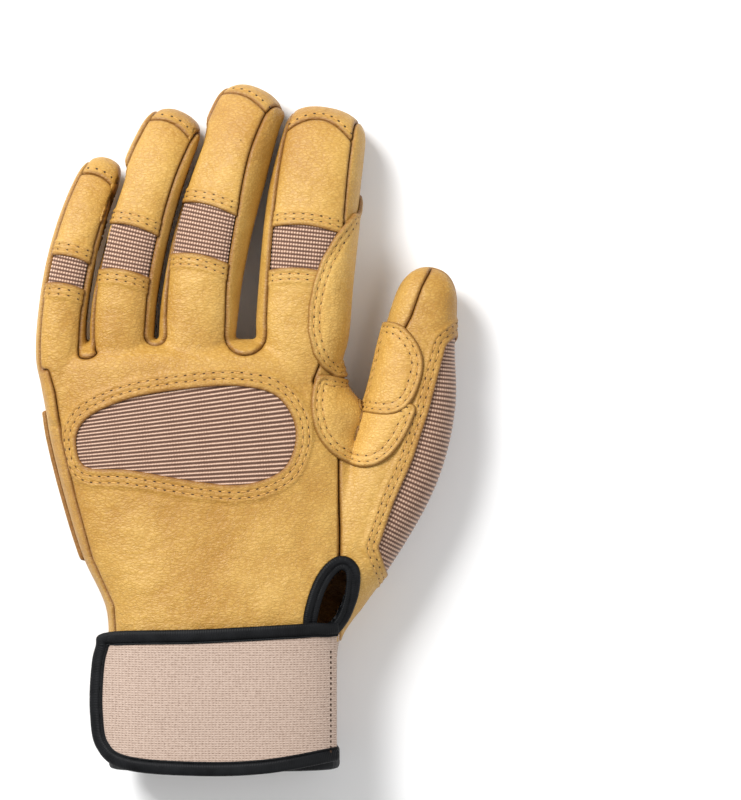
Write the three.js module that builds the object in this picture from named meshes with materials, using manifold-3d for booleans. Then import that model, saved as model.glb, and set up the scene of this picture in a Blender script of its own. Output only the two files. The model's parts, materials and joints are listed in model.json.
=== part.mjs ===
// A left-hand climbing glove of leather, lying palm down as it would on a table. The back of the hand faces +Z, the
// fingers point along +Y and the thumb lies on the +X side. A hollow hand form gives every wall its shape: each
// piece is the stretch of a layer of that form between its seams, with a narrow clearance to its neighbours.
import * as THREE from "three";
import { mergeVertices } from "three/addons/utils/BufferGeometryUtils.js";
import Module from "manifold-3d";

const wasm = await Module();
wasm.setup();

// Driving sizes, in millimetres.
const palmWidth = 109;
const palmLength = 106;
const palmDepth = 34;
const fingerLength = 94;
const fingerWidth = 27.2;
const fingerDepth = 22.5;
const cuffLength = 46;
const thumbLength = 122;
const thumbWidth = 33;
const thumbDepth = 28;
const leather = 1.4;
const fabric = 1.2;
const patchLeather = 1.3;
const seamGap = 0.3;
const fabricRecess = 0.5;
const knuckleRise = 0.8;
const strapThickness = 1.8;
const bindingWidth = 5.4;
const bindingFold = 0.6;
const ventBinding = 5;
const hemHeight = 8;
const tabWidth = 34;
const clipHoleRadius = 7.5;
const clipHoleRise = 24;

// The palm's length runs from the wrist to the knuckles, and the origin divides it in this share.
const wristY = -0.68 * palmLength;
const hemY = wristY - cuffLength;
const middleZ = 0.5 * palmDepth;
const patchHeight = seamGap + patchLeather;
const half = seamGap / 2;
const far = 400;

// Sections of the hand: y is palm times palmLength less cuff times cuffLength, left and right are shares of
// palmWidth, and high is a share of palmDepth.
const HAND = [
  { palm: -0.68, cuff: 1.1, left: -0.312, right: 0.44, high: 1.1 },
  { palm: -0.68, cuff: 0.5, left: -0.312, right: 0.44, high: 1.1 },
  { palm: -0.68, cuff: 0.0, left: -0.318, right: 0.45, high: 1.08 },
  { palm: -0.56, cuff: 0.0, left: -0.33, right: 0.52, high: 1.08 },
  { palm: -0.4, cuff: 0.0, left: -0.402, right: 0.56, high: 1.05 },
  { palm: -0.2, cuff: 0.0, left: -0.463, right: 0.54, high: 1.02 },
  { palm: 0.0, cuff: 0.0, left: -0.512, right: 0.5, high: 1.0 },
  { palm: 0.1, cuff: 0.0, left: -0.528, right: 0.52, high: 0.985 },
  { palm: 0.18, cuff: 0.0, left: -0.537, right: 0.465, high: 0.97 },
  { palm: 0.34, cuff: 0.0, left: -0.545, right: 0.455, high: 0.94 },
];

// The four fingers: length, width and depth as shares of the middle finger's, rootX of palmWidth and rootY of
// palmLength, heading and roll in degrees. The seams across a finger are shares of its length, arcBulge one of its
// width, and bow a sideways one of its length.
const FINGER_ROWS = [
  { name: "little", length: 0.798, width: 0.662, depth: 0.867, rootX: -0.479, rootY: 0.272, heading: 13.9,
    bow: -0.056, roll: 0, insertFrom: 0.35, insertTo: 0.475, arc: 0.875, arcBulge: 0.12, cap: 0.84, pad: 0.635 },
  { name: "ring", length: 0.91, width: 0.864, depth: 0.978, rootX: -0.281, rootY: 0.34, heading: 15.6,
    bow: -0.055, roll: 12, insertFrom: 0.275, insertTo: 0.455, arc: 0.905, arcBulge: 0.12, cap: 0.785, pad: 0.4 },
  { name: "middle", length: 1, width: 1, depth: 1, rootX: -0.029, rootY: 0.34, heading: 14.2,
    bow: -0.048, roll: 28, insertFrom: 0.305, insertTo: 0.49, arc: 0.92, arcBulge: 0.1, cap: 0.78, pad: 0.43 },
  { name: "index", length: 0.904, width: 1.176, depth: 1.067, rootX: 0.317, rootY: 0.34, heading: 6.6,
    bow: -0.015, roll: 18, insertFrom: 0.28, insertTo: 0.455, arc: 0.865, arcBulge: 0.2, cap: 0.825, pad: 0.41 },
];
const FINGERS = FINGER_ROWS.map((row) => ({
  ...row,
  length: row.length * fingerLength,
  width: row.width * fingerWidth,
  depth: row.depth * fingerDepth,
}));

// One finger's sections along its length: width and depth as shares of the finger's own, height of the middle line
// as a share of palmDepth, twist as a share of its roll, and floor, the share of the patches' height it clears.
const FINGER_SECTIONS = [
  { along: -0.3, width: 0.5, depth: 1.0, height: 0.5, twist: 0.0, floor: 1 },
  { along: -0.12, width: 0.78, depth: 1.08, height: 0.5, twist: 0.0, floor: 1 },
  { along: 0.0, width: 0.98, depth: 1.12, height: 0.51, twist: 0.0, floor: 1 },
  { along: 0.25, width: 1.01, depth: 1.08, height: 0.54, twist: 0.35, floor: 1 },
  { along: 0.5, width: 1.02, depth: 1.02, height: 0.54, twist: 0.6, floor: 0.5 },
  { along: 0.75, width: 1.0, depth: 0.96, height: 0.46, twist: 1.0, floor: 0 },
  { along: 0.9, width: 0.96, depth: 0.9, height: 0.35, twist: 1.0, floor: 0 },
  { along: 1.0, width: 0.9, depth: 0.86, height: 0.27, twist: 0.9, floor: 0 },
];

// The thumb's middle line and sections, from its root: x is a share of palmWidth and y of thumbLength, width and
// depth are shares of its own, and height is a share of palmDepth.
const THUMB = [
  { along: 0.0, x: 0.0, y: 0.0, width: 0.85, depth: 1.05, height: 0.5 },
  { along: 0.22, x: 0.125, y: 0.19, width: 0.98, depth: 1.07, height: 0.5 },
  { along: 0.42, x: 0.232, y: 0.38, width: 1.03, depth: 1.02, height: 0.49 },
  { along: 0.6, x: 0.29, y: 0.56, width: 0.98, depth: 0.96, height: 0.48 },
  { along: 0.77, x: 0.312, y: 0.73, width: 0.83, depth: 0.88, height: 0.46 },
  { along: 0.9, x: 0.335, y: 0.86, width: 0.7, depth: 0.8, height: 0.44 },
  { along: 1.0, x: 0.37, y: 0.965, width: 0.56, depth: 0.7, height: 0.42 },
];
const thumbRootX = 0.395 * palmWidth;
const thumbRootY = -0.525 * palmLength;

// Shape of the walls: the squareness of a section, the length of its rounded end and of its root inside the hand.
const handSquareness = 2.7;
const fingerSquareness = 2.5;
const fingertip = 11;
const knuckleEnd = 12;
const rootTail = 22;
const seamShare = 0.8;
const tipShare = 0.975;
const tipLap = 0.01;
const tipReach = 1.12;
const tongueStart = -0.05;
const outlineShare = 0.08;
const notchShare = 0.02;
const straightShare = 0.8;
const laneShare = 0.9;
const laneReach = 1.2;
const bluntness = 2.4;

// A column of a table at a place along it, on a smooth curve through the rows.
function sample(rows, key, place) {
  const last = rows.length - 1;
  let i = 0;
  while (i < last - 1 && rows[i + 1].along <= place) i += 1;
  const span = rows[i + 1].along - rows[i].along;
  const t = THREE.MathUtils.clamp((place - rows[i].along) / span, 0, 1);
  const slope = (a, b) => ((b[key] - a[key]) / (b.along - a.along)) * span;
  const startSlope = slope(rows[Math.max(i - 1, 0)], rows[i + 1]);
  const endSlope = slope(rows[i], rows[Math.min(i + 2, last)]);
  const rise = rows[i + 1][key] - rows[i][key];
  const cubic = startSlope + endSlope - 2 * rise;
  const square = 3 * rise - 2 * startSlope - endSlope;
  return rows[i][key] + t * (startSlope + t * (square + t * cubic));
}

// How far a rounded end has closed: 1 on the limb, 0 at its very end.
const closing = (toEnd, radius) =>
  toEnd >= radius ? 1 : Math.pow(Math.max(0, 1 - Math.pow(1 - toEnd / radius, bluntness)), 1 / bluntness);

const handRows = HAND.map((row) => ({ ...row, along: row.palm * palmLength - row.cuff * cuffLength }));
const handStart = handRows[0].along;
const handEnd = handRows[handRows.length - 1].along;

// A section is its centre, its two axes, its half sizes and the lowest it may reach. Grow moves the wall outwards.
function handSection(share, grow) {
  const y = THREE.MathUtils.lerp(handStart, handEnd + grow, share);
  const row = (key) => sample(handRows, key, Math.min(y, handEnd));
  const left = row("left") * palmWidth;
  const right = row("right") * palmWidth;
  const high = row("high") * palmDepth;
  const close = closing(handEnd + grow - y, knuckleEnd);
  return {
    centre: new THREE.Vector3((left + right) / 2, y, high / 2),
    across: new THREE.Vector3(1, 0, 0),
    up: new THREE.Vector3(0, 0, 1),
    half: ((right - left) / 2 + grow) * Math.sqrt(close),
    rise: (high / 2 + grow) * close,
    floor: patchHeight - grow,
    squareness: handSquareness,
  };
}

// A finger's middle line: the point at a distance from its root. Inside the hand it runs straight back.
function fingerLine(finger, distance) {
  const turn = distance > 0 ? THREE.MathUtils.degToRad(finger.heading) : 0;
  const along = new THREE.Vector3(Math.sin(turn), Math.cos(turn), 0);
  const across = new THREE.Vector3(Math.cos(turn), -Math.sin(turn), 0);
  const t = distance / finger.length;
  const bow = t > 0 ? 4 * t * (1 - t) * finger.bow * finger.length : 0;
  return new THREE.Vector3(finger.rootX * palmWidth, finger.rootY * palmLength, 0)
    .addScaledVector(along, distance)
    .addScaledVector(across, bow)
    .setZ(sample(FINGER_SECTIONS, "height", Math.min(t, 1)) * palmDepth);
}

// The two axes across a line in the plan, turned about the line by a roll.
function axesAcross(ahead, roll) {
  const flat = new THREE.Vector3(ahead.x, ahead.y, 0).normalize();
  const across = new THREE.Vector3(flat.y, -flat.x, 0).applyAxisAngle(flat, -THREE.MathUtils.degToRad(roll));
  return { across, up: new THREE.Vector3().crossVectors(across, flat) };
}

function fingerSection(finger, share, grow) {
  const whole = rootTail + finger.length + grow;
  const distance = share * whole - rootTail;
  const t = distance / finger.length;
  const row = (key) => sample(FINGER_SECTIONS, key, THREE.MathUtils.clamp(t, FINGER_SECTIONS[0].along, 1));
  const ahead = fingerLine(finger, distance + 1).sub(fingerLine(finger, distance - 1));
  const close = closing(whole - share * whole, fingertip);
  return {
    centre: fingerLine(finger, distance),
    ...axesAcross(ahead, finger.roll * row("twist")),
    half: ((finger.width * row("width")) / 2 + grow) * close,
    rise: ((finger.depth * row("depth")) / 2 + grow) * close,
    floor: patchHeight * row("floor") - grow,
    squareness: fingerSquareness,
  };
}

function thumbSection(share, grow) {
  const whole = thumbLength + grow;
  const t = Math.min((share * whole) / thumbLength, 1);
  const row = (key, at = t) => sample(THUMB, key, at);
  const point = (at) =>
    new THREE.Vector3(thumbRootX + row("x", at) * palmWidth, thumbRootY + row("y", at) * thumbLength, 0);
  const ahead = point(Math.min(t + 0.01, 1)).sub(point(Math.max(t - 0.01, 0)));
  const past = Math.max(share * whole - thumbLength, 0);
  const close = closing(whole - share * whole, fingertip);
  return {
    centre: point(t).addScaledVector(ahead.clone().normalize(), past).setZ(row("height") * palmDepth),
    ...axesAcross(ahead, 0),
    half: ((thumbWidth * row("width")) / 2 + grow) * close,
    rise: ((thumbDepth * row("depth")) / 2 + grow) * close,
    floor: patchHeight - grow,
    squareness: fingerSquareness,
  };
}

function solidOf(geometry) {
  const bare = geometry.clone();
  bare.deleteAttribute("normal");
  bare.deleteAttribute("uv");
  const merged = mergeVertices(bare, 1e-4);
  return new wasm.Manifold(
    new wasm.Mesh({
      numProp: 3,
      vertProperties: merged.getAttribute("position").array,
      triVerts: new Uint32Array(merged.index.array),
    }),
  );
}

// A closed limb: the rings of a sphere are moved onto its sections. The first ring is the flat end at its root, and
// the last rings lie close together on the rounded end.
function limb(section, grow, rings, sides, roundRings, roundShare) {
  const geometry = new THREE.SphereGeometry(1, sides, rings);
  const position = geometry.getAttribute("position");
  const plain = rings - 1 - roundRings;
  for (let i = 0; i < position.count; i += 1) {
    const sphere = new THREE.Vector3().fromBufferAttribute(position, i);
    const ring = Math.round((1 - Math.acos(THREE.MathUtils.clamp(sphere.y, -1, 1)) / Math.PI) * rings);
    const beyond = Math.max(ring - 1 - plain, 0) / roundRings;
    const straight = (Math.max(ring - 1, 0) / plain) * (1 - roundShare);
    const share = beyond > 0 ? 1 - roundShare * (1 - Math.sin((beyond * Math.PI) / 2)) : straight;
    const at = section(share, grow);
    const turn = Math.atan2(sphere.z, sphere.x);
    const open = ring === 0 || ring === rings ? 0 : 1;
    const bend = (value) => open * Math.sign(value) * Math.pow(Math.abs(value), 2 / at.squareness);
    const point = at.centre
      .addScaledVector(at.across, at.half * bend(Math.cos(turn)))
      .addScaledVector(at.up, at.rise * bend(Math.sin(turn)));
    point.z = Math.max(point.z, at.floor);
    position.setXYZ(i, point.x, point.y, point.z);
  }
  return solidOf(geometry);
}

const joined = (solids) => solids.reduce((sum, solid) => sum.add(solid));

// The whole hand form with its wall moved outwards by grow, and a layer between two such forms.
const forms = new Map();
function form(grow) {
  if (!forms.has(grow)) {
    const fingers = FINGERS.map((finger) =>
      limb((share, more) => fingerSection(finger, share, more), grow, 8, 8, 3, 0.11),
    );
    forms.set(grow, joined([
      limb(handSection, grow, 9, 16, 2, 0.06),
      ...fingers,
      limb(thumbSection, grow, 9, 8, 3, 0.1),
    ]));
  }
  return forms.get(grow);
}
const layer = (outer, inner) => form(outer).subtract(form(inner));

// An outline moved outwards by a distance.
function grown(points, distance) {
  const turn = THREE.ShapeUtils.isClockWise(points) ? -1 : 1;
  return points.map((point, i) => {
    const before = points[(i + points.length - 1) % points.length];
    const after = points[(i + 1) % points.length];
    const ahead = after.clone().sub(before).normalize();
    return point.clone().add(new THREE.Vector2(ahead.y, -ahead.x).multiplyScalar(turn * distance));
  });
}

// A straight-sided block that stands on an outline in the plan.
function block(points, low, high) {
  const geometry = new THREE.ExtrudeGeometry(new THREE.Shape(points), { depth: high - low, bevelEnabled: false });
  return solidOf(geometry.translate(0, 0, low));
}
const above = (points, grow = 0) => block(grown(points, grow), middleZ - grow, far);
const below = (points, grow = 0) => block(grown(points, grow), -far, middleZ + grow);
const around = (back, front, grow = 0) =>
  block(grown(back, grow), middleZ, far).add(block(grown(front, grow), -far, middleZ + half));
const throughout = (points, grow = 0) => block(grown(points, grow), -far, far);

// An upright box between two lengths along the hand.
function stretch(yFrom, yTo, zFrom = -far, zTo = far) {
  const geometry = new THREE.BoxGeometry(2 * far, yTo - yFrom, zTo - zFrom);
  return solidOf(geometry.translate(0, (yFrom + yTo) / 2, (zFrom + zTo) / 2));
}

// Outlines are given as shares of palmWidth and palmLength. On the thumb y is a share of thumbLength from its root.
const onPalm = ([x, y]) => new THREE.Vector2(x * palmWidth, y * palmLength);
const outlineOf = (rows) => rows.map(onPalm);
const onThumb = ([x, y]) => new THREE.Vector2(x * palmWidth, thumbRootY + y * thumbLength);
const thumbOutline = (rows) => rows.map(onThumb);
const roundOutline = (rows, points) =>
  new THREE.SplineCurve([...rows, rows[0]].map(onPalm)).getPoints(points).slice(0, -1);

// The stretch of a finger between its two long seams, on its back (side 1) or its front (side -1), from one share
// of its length to another. Its ends bulge towards the tip by a share of the finger's width.
function lane(finger, from, to, { side = 1, grow = 0, bulgeFrom = 0, bulgeTo = 0, wide = seamShare } = {}) {
  const geometry = new THREE.BoxGeometry(2, 1, 1, 2, 2, 1);
  const position = geometry.getAttribute("position");
  const whole = rootTail + finger.length;
  const reach = laneReach * finger.depth;
  const low = side === 0 ? -reach : -grow;
  for (let i = 0; i < position.count; i += 1) {
    const [x, y, z] = [position.getX(i), position.getY(i) + 0.5, position.getZ(i) + 0.5];
    const bulge = THREE.MathUtils.lerp(bulgeFrom, bulgeTo, y) * (1 - x * x) * finger.width;
    const distance = THREE.MathUtils.lerp(from * finger.length - grow, to * finger.length + grow, y) + bulge;
    const at = fingerSection(finger, Math.min((distance + rootTail) / whole, laneShare), 0);
    const upward = side < 0 ? THREE.MathUtils.lerp(-reach, -low, z) : THREE.MathUtils.lerp(low, reach, z);
    const point = fingerLine(finger, distance)
      .addScaledVector(at.across, x * (wide * at.half + grow))
      .addScaledVector(at.up, upward);
    position.setXYZ(i, point.x, point.y, point.z);
  }
  return solidOf(geometry);
}

// Where a finger's seam lies in the plan at a share of its length: edge -1 is its left seam and 1 its right one.
function seamPoint(finger, share, edge, side) {
  const at = fingerSection(finger, (share * finger.length + rootTail) / (rootTail + finger.length), 0);
  const point = at.centre
    .addScaledVector(at.across, edge * seamShare * at.half)
    .addScaledVector(at.up, side * at.rise);
  return new THREE.Vector2(point.x, point.y);
}

// The ground of one finger in the plan, parted from its neighbours' halfway between their sides.
const GROUND_LENGTHS = [0.3, 0.55, 0.8, 0.95, 1.1, 1.3];
function sidePoint(finger, y, edge) {
  const distance = (y - finger.rootY * palmLength) / Math.cos(THREE.MathUtils.degToRad(finger.heading));
  const share = Math.min(distance / finger.length, straightShare);
  const at = fingerSection(finger, (share * finger.length + rootTail) / (rootTail + finger.length), 0);
  return { x: fingerLine(finger, distance).x + edge * at.half, past: distance > finger.length };
}
function slitLine(left, right) {
  return GROUND_LENGTHS.map((length) => {
    const y = length * palmLength;
    const from = left ? sidePoint(left, y, 1) : { x: -far, past: false };
    const to = right ? sidePoint(right, y, -1) : { x: far, past: false };
    const between = from.past ? to.x - leather : to.past ? from.x + leather : (from.x + to.x) / 2;
    return new THREE.Vector2(left && right ? between : left ? far : -far, y);
  });
}
function ground(finger, grow) {
  const i = FINGERS.indexOf(finger);
  const leftLine = slitLine(FINGERS[i - 1], finger);
  const rightLine = slitLine(finger, FINGERS[i + 1]).reverse();
  const foot = [rightLine.at(-1), leftLine[0]].map((point) => new THREE.Vector2(point.x, 0));
  return throughout([...leftLine, ...rightLine, ...foot], grow);
}

// The round foot of the notch between two fingers, from one's right seam to the other's left seam.
function notch(left, right, side) {
  const steps = 4;
  const from = seamPoint(left, notchShare, 1, side);
  const to = seamPoint(right, notchShare, -1, side);
  const centre = from.clone().add(to).multiplyScalar(0.5);
  const radius = from.distanceTo(to) / 2;
  const start = Math.atan2(from.y - centre.y, from.x - centre.x);
  return Array.from({ length: steps + 1 }, (_, i) => {
    const turn = start + (Math.PI * i) / steps;
    return new THREE.Vector2(centre.x + radius * Math.cos(turn), centre.y + radius * Math.sin(turn));
  });
}

// The plan outline of the hand's back or palm, with a short tongue on each finger.
function handOutline(leftSeam, rightSeam, side) {
  const points = outlineOf(leftSeam);
  FINGERS.forEach((finger, i) => {
    points.push(seamPoint(finger, outlineShare, -1, side), seamPoint(finger, outlineShare, 1, side));
    if (i < FINGERS.length - 1) points.push(...notch(finger, FINGERS[i + 1], side));
  });
  return [...points, ...outlineOf(rightSeam)];
}

// The plan outline between two fingers' middle lines. Outside the first or last one it runs on beside the hand.
function betweenFingers(left, right) {
  const shares = [-0.25, 0.0, 0.3, 0.6, 1.15];
  const line = (finger) => shares.map((share) => fingerLine(finger, share * finger.length));
  const beside = (side) => [new THREE.Vector2(side * far, far), new THREE.Vector2(side * far, -far)];
  const foot = [new THREE.Vector2(0, -far), new THREE.Vector2(0, 0)];
  const up = left ? [...(right ? [] : foot), ...line(left)] : beside(-1).reverse();
  const down = right ? [...line(right).reverse(), ...(left ? [] : foot.toReversed())] : beside(1);
  return [...up, ...down].map((point) => new THREE.Vector2(point.x, point.y));
}

const BACK_LEFT_SEAM = [[-0.28, -0.9], [-0.3, -0.56], [-0.372, -0.4], [-0.425, -0.2], [-0.47, 0.0], [-0.492, 0.16]];
const BACK_RIGHT_SEAM = [[0.36, 0.2], [0.4, 0.08], [0.446, -0.06], [0.446, -0.9]];
const PALM_LEFT_SEAM = [[-0.3, -0.9], [-0.31, -0.56], [-0.38, -0.4], [-0.43, -0.2], [-0.475, 0.0], [-0.497, 0.16]];
const PALM_RIGHT_SEAM = [[0.4, 0.26], [0.42, 0.14], [0.3, 0.06], [0.225, -0.1], [0.19, -0.22], [0.115, -0.39],
  [0.09, -0.53], [0.075, -0.9]];
const THUMB_SLIT = [[0.47, 0.126], [0.485, 0.187], [0.512, 0.306], [0.528, 0.41], [0.55, 0.51], [0.595, 0.6],
  [0.66, 0.75], [0.7, 1.2]];
const KNUCKLE_WINDOW = [[-0.42, -0.015], [-0.4, 0.055], [-0.33, 0.105], [-0.2, 0.15], [0.0, 0.178], [0.13, 0.18],
  [0.235, 0.15], [0.292, 0.07], [0.297, -0.02], [0.25, -0.105], [0.13, -0.148], [-0.02, -0.138], [-0.24, -0.1],
  [-0.385, -0.09]];
const VENT = [[0.375, -0.62], [0.39, -0.54], [0.42, -0.475], [0.46, -0.437], [0.482, -0.455], [0.478, -0.53],
  [0.462, -0.6], [0.42, -0.63]];
const PALM_PATCH = [[-0.53, 0.1], [-0.47, -0.36], [-0.36, -0.432], [-0.165, -0.385], [0.03, -0.318],
  [0.115, -0.262], [0.165, -0.18], [0.19, -0.1], [0.25, 0.05], [0.31, 0.12], [0.28, 0.2]];
const INDEX_PATCH_BACK = [[0.49, 0.77], [0.43, 0.69], [0.385, 0.61], [0.358, 0.53], [0.343, 0.45], [0.34, 0.37],
  [0.358, 0.29], [0.385, 0.245], [0.43, 0.21], [0.49, 0.21]];
const INDEX_PATCH_FRONT = [[0.4, 0.84], [0.33, 0.77], [0.28, 0.67], [0.262, 0.56], [0.265, 0.4], [0.3, 0.3],
  [0.37, 0.23], [0.49, 0.21]];
const CROTCH_PATCH = [[0.37, 0.215], [0.35, 0.12], [0.372, 0.015], [0.43, -0.055], [0.512, -0.092],
  [0.585, -0.075], [0.64, -0.02], [0.672, 0.06], [0.6, 0.068], [0.51, 0.08], [0.48, 0.12], [0.49, 0.19],
  [0.43, 0.19]];
const THUMB_PATCH = [[0.5, 0.552], [0.54, 0.534], [0.61, 0.53], [0.665, 0.552], [0.7, 0.6], [0.72, 0.673],
  [0.705, 0.734], [0.655, 0.791], [0.6, 0.804], [0.54, 0.786], [0.5, 0.673]];
const THUMB_PANEL_BACK = [[0.84, 0.769], [0.796, 0.734], [0.74, 0.543], [0.685, 0.395], [0.625, 0.274],
  [0.575, 0.143], [0.605, 0.056], [0.76, 0.091], [0.96, 0.369], [0.96, 0.769]];
const THUMB_PANEL_FRONT = [[0.84, 0.769], [0.79, 0.682], [0.735, 0.543], [0.68, 0.404], [0.62, 0.282],
  [0.57, 0.152], [0.605, 0.056], [0.76, 0.091], [0.96, 0.369], [0.96, 0.769]];
const THUMB_BACK = [[0.446, -0.326], [0.446, 0.404], [0.46, 0.552], [0.6, 0.691], [0.68, 0.821],
  [0.715, 0.908], [0.765, 0.995], [1.2, 0.995], [1.2, -0.326]];

// The closure strap's outline: x is a share of palmWidth, and y one of cuffLength from the wrist.
const STRAP = [[-0.314, 0.078], [-0.357, -0.043], [-0.373, -0.26], [-0.375, -0.565], [-0.353, -0.826],
  [-0.264, -0.983], [-0.017, -1.026], [0.2, -1.01], [0.429, -0.917], [0.429, 0.0], [0.385, 0.076], [0.312, 0.141],
  [0.0, 0.109]];
const onCuff = ([x, y]) => new THREE.Vector2(x * palmWidth, wristY + y * cuffLength);

const materials = {
  tan_leather: new THREE.MeshStandardMaterial({ color: "#d9a94f", roughness: 0.55, metalness: 0 }),
  patch_leather: new THREE.MeshStandardMaterial({ color: "#d6a24a", roughness: 0.6, metalness: 0 }),
  ribbed_fabric: new THREE.MeshStandardMaterial({ color: "#a98576", roughness: 0.9, metalness: 0 }),
  cuff_fabric: new THREE.MeshStandardMaterial({ color: "#b9a195", roughness: 0.9, metalness: 0 }),
  black_binding: new THREE.MeshStandardMaterial({ color: "#1b1c1e", roughness: 0.75, metalness: 0 }),
};
const glove = new THREE.Group();

// Adds a solid to the glove as a named mesh. Crumbs that a cut leaves beside the piece are dropped.
function add(name, material, solid) {
  const whole = solid.decompose().reduce((most, part) => (part.volume() > most.volume() ? part : most));
  const { vertProperties, triVerts } = whole.getMesh();
  const geometry = new THREE.BufferGeometry()
    .setAttribute("position", new THREE.BufferAttribute(vertProperties, 3))
    .setIndex(new THREE.BufferAttribute(triVerts, 1));
  const mesh = new THREE.Mesh(geometry, materials[material]);
  mesh.name = name;
  glove.add(mesh);
}

// The layers that the pieces are cut from.
const leatherWall = layer(0, -leather);
const fabricWall = layer(-fabricRecess, -fabricRecess - fabric);
const knuckleWall = layer(knuckleRise, knuckleRise - fabric);
const patchWall = layer(patchHeight, seamGap);

// The regions that the pieces fill, each moved outwards by grow. The back's leather tucks under the strap.
const backHem = wristY - 0.1 * cuffLength;
const handRegion = (grow) =>
  stretch(backHem - grow, far, middleZ, far).add(stretch(wristY - grow, far, -far, middleZ));
const backOutline = handOutline(BACK_LEFT_SEAM, BACK_RIGHT_SEAM, 1);
const palmOutline = handOutline(PALM_LEFT_SEAM, PALM_RIGHT_SEAM, -1);
const knuckleOutline = roundOutline(KNUCKLE_WINDOW, 14);
const ventOutline = roundOutline(VENT, 10);
const bow = 0.06;
const tongue = (finger, grow) => lane(finger, tongueStart, finger.insertFrom, { grow, bulgeTo: bow });
const insert = (finger, grow) =>
  lane(finger, finger.insertFrom, finger.insertTo, { grow, bulgeFrom: bow, bulgeTo: bow });
const fingerBack = (finger, grow) =>
  lane(finger, finger.insertTo, finger.arc, { grow, bulgeFrom: bow, bulgeTo: finger.arcBulge });
const front = (finger, grow) => lane(finger, tongueStart, finger.pad, { side: -1, grow });
const pad = (finger, grow) => lane(finger, finger.pad, finger.cap, { side: -1, grow });
const cap = (finger, grow) =>
  joined([
    lane(finger, finger.arc, tipShare + tipLap, { grow, bulgeFrom: finger.arcBulge, bulgeTo: half / finger.width }),
    lane(finger, finger.cap, tipShare + tipLap, { side: -1, grow }),
    lane(finger, tipShare, tipReach, { side: 0, grow, wide: tipReach }),
  ]);
const own = (region, finger, grow) => region(finger, grow).intersect(ground(finger, grow));
const everyFinger = (region, grow) => joined(FINGERS.map((finger) => own(region, finger, grow)));
const backRegion = (grow) => above(backOutline, grow).add(everyFinger(tongue, grow));
const palmRegion = (grow) => below(palmOutline, grow).add(everyFinger(front, grow));
const beyond = [[1.2, 1.2], [1.2, -0.9]];
const thumbRegion = (grow) =>
  around(
    outlineOf([...BACK_RIGHT_SEAM.slice(2).reverse(), ...THUMB_SLIT, ...beyond]),
    outlineOf([...PALM_RIGHT_SEAM.slice(1).reverse(), ...THUMB_SLIT, ...beyond]),
    grow,
  );
const thumbBackRegion = (grow) => above(thumbOutline(THUMB_BACK), grow);
const thumbPanelRegion = (grow) => around(thumbOutline(THUMB_PANEL_BACK), thumbOutline(THUMB_PANEL_FRONT), grow);

// The hand's leather and its ribbed window.
const handLeather = leatherWall.intersect(handRegion(-half));
const vent = above(ventOutline, ventBinding);
add("back_of_hand", "tan_leather",
  handLeather
    .intersect(backRegion(-half))
    .subtract(thumbRegion(half))
    .subtract(above(knuckleOutline, half))
    .subtract(vent));
add("palm_panel", "tan_leather", handLeather.intersect(palmRegion(-half)).subtract(thumbRegion(half)));
add("knuckle_panel", "ribbed_fabric", knuckleWall.intersect(above(knuckleOutline, -half)));

// The four fingers' backs, inserts, caps and pads.
FINGERS.forEach((finger) => {
  add(`finger_insert_${finger.name}`, "ribbed_fabric", fabricWall.intersect(own(insert, finger, -half)));
  add(`finger_back_${finger.name}`, "tan_leather", leatherWall.intersect(own(fingerBack, finger, -half)));
  add(`fingertip_cap_${finger.name}`, "tan_leather", leatherWall.intersect(own(cap, finger, -half)));
  add(`finger_pad_${finger.name}`, "tan_leather", leatherWall.intersect(own(pad, finger, -half)));
});

// The side walls are what the other pieces leave of the leather, parted at the fingers' middle lines.
const sideWalls = [backRegion, palmRegion, thumbRegion, ...[insert, fingerBack, cap, pad].map(
  (region) => (grow) => everyFinger(region, grow),
)].reduce((left, region) => left.subtract(region(half)), handLeather);
const SIDE_WALLS = ["side_strip_little", "fourchette_little_ring", "fourchette_ring_middle",
  "fourchette_middle_index", "side_strip_index"];
SIDE_WALLS.forEach((name, i) =>
  add(name, "tan_leather", sideWalls.intersect(throughout(betweenFingers(FINGERS[i - 1], FINGERS[i])))));

// The thumb, with its base on both sides of the hand.
const thumbLeather = handLeather.intersect(thumbRegion(-half)).subtract(thumbPanelRegion(half));
add("thumb_back", "tan_leather", thumbLeather.intersect(thumbBackRegion(-half)).subtract(vent));
add("thumb_front", "tan_leather", thumbLeather.subtract(thumbBackRegion(half)).subtract(vent));
add("thumb_panel", "ribbed_fabric", fabricWall.intersect(thumbPanelRegion(-half)));

// The second layer of leather.
const slitLeft = outlineOf([...THUMB_SLIT, [-1.2, 1.2], [-1.2, 0.126]]);
const indexSide = throughout(slitLeft, -half);
add("palm_patch", "patch_leather", patchWall.intersect(below(outlineOf(PALM_PATCH))));
add("index_side_patch", "patch_leather",
  patchWall.intersect(indexSide).intersect(
    around(
      outlineOf([...INDEX_PATCH_BACK, [0.8, 0.21], [0.8, 0.77]]),
      outlineOf([...INDEX_PATCH_FRONT, [0.8, 0.21], [0.8, 0.84]]),
    )));
add("thumb_crotch_patch", "patch_leather",
  patchWall.intersect(throughout(outlineOf(CROTCH_PATCH))).subtract(above(thumbOutline(THUMB_PATCH), seamGap)));
add("thumb_inner_patch", "patch_leather",
  patchWall.intersect(above(thumbOutline(THUMB_PATCH))).subtract(throughout(slitLeft, half)));

// The vent's binding wraps the edge of the leather.
add("vent_binding", "black_binding",
  layer(bindingFold, -leather - bindingFold)
    .intersect(above(ventOutline, ventBinding - seamGap))
    .subtract(above(ventOutline)));

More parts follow.
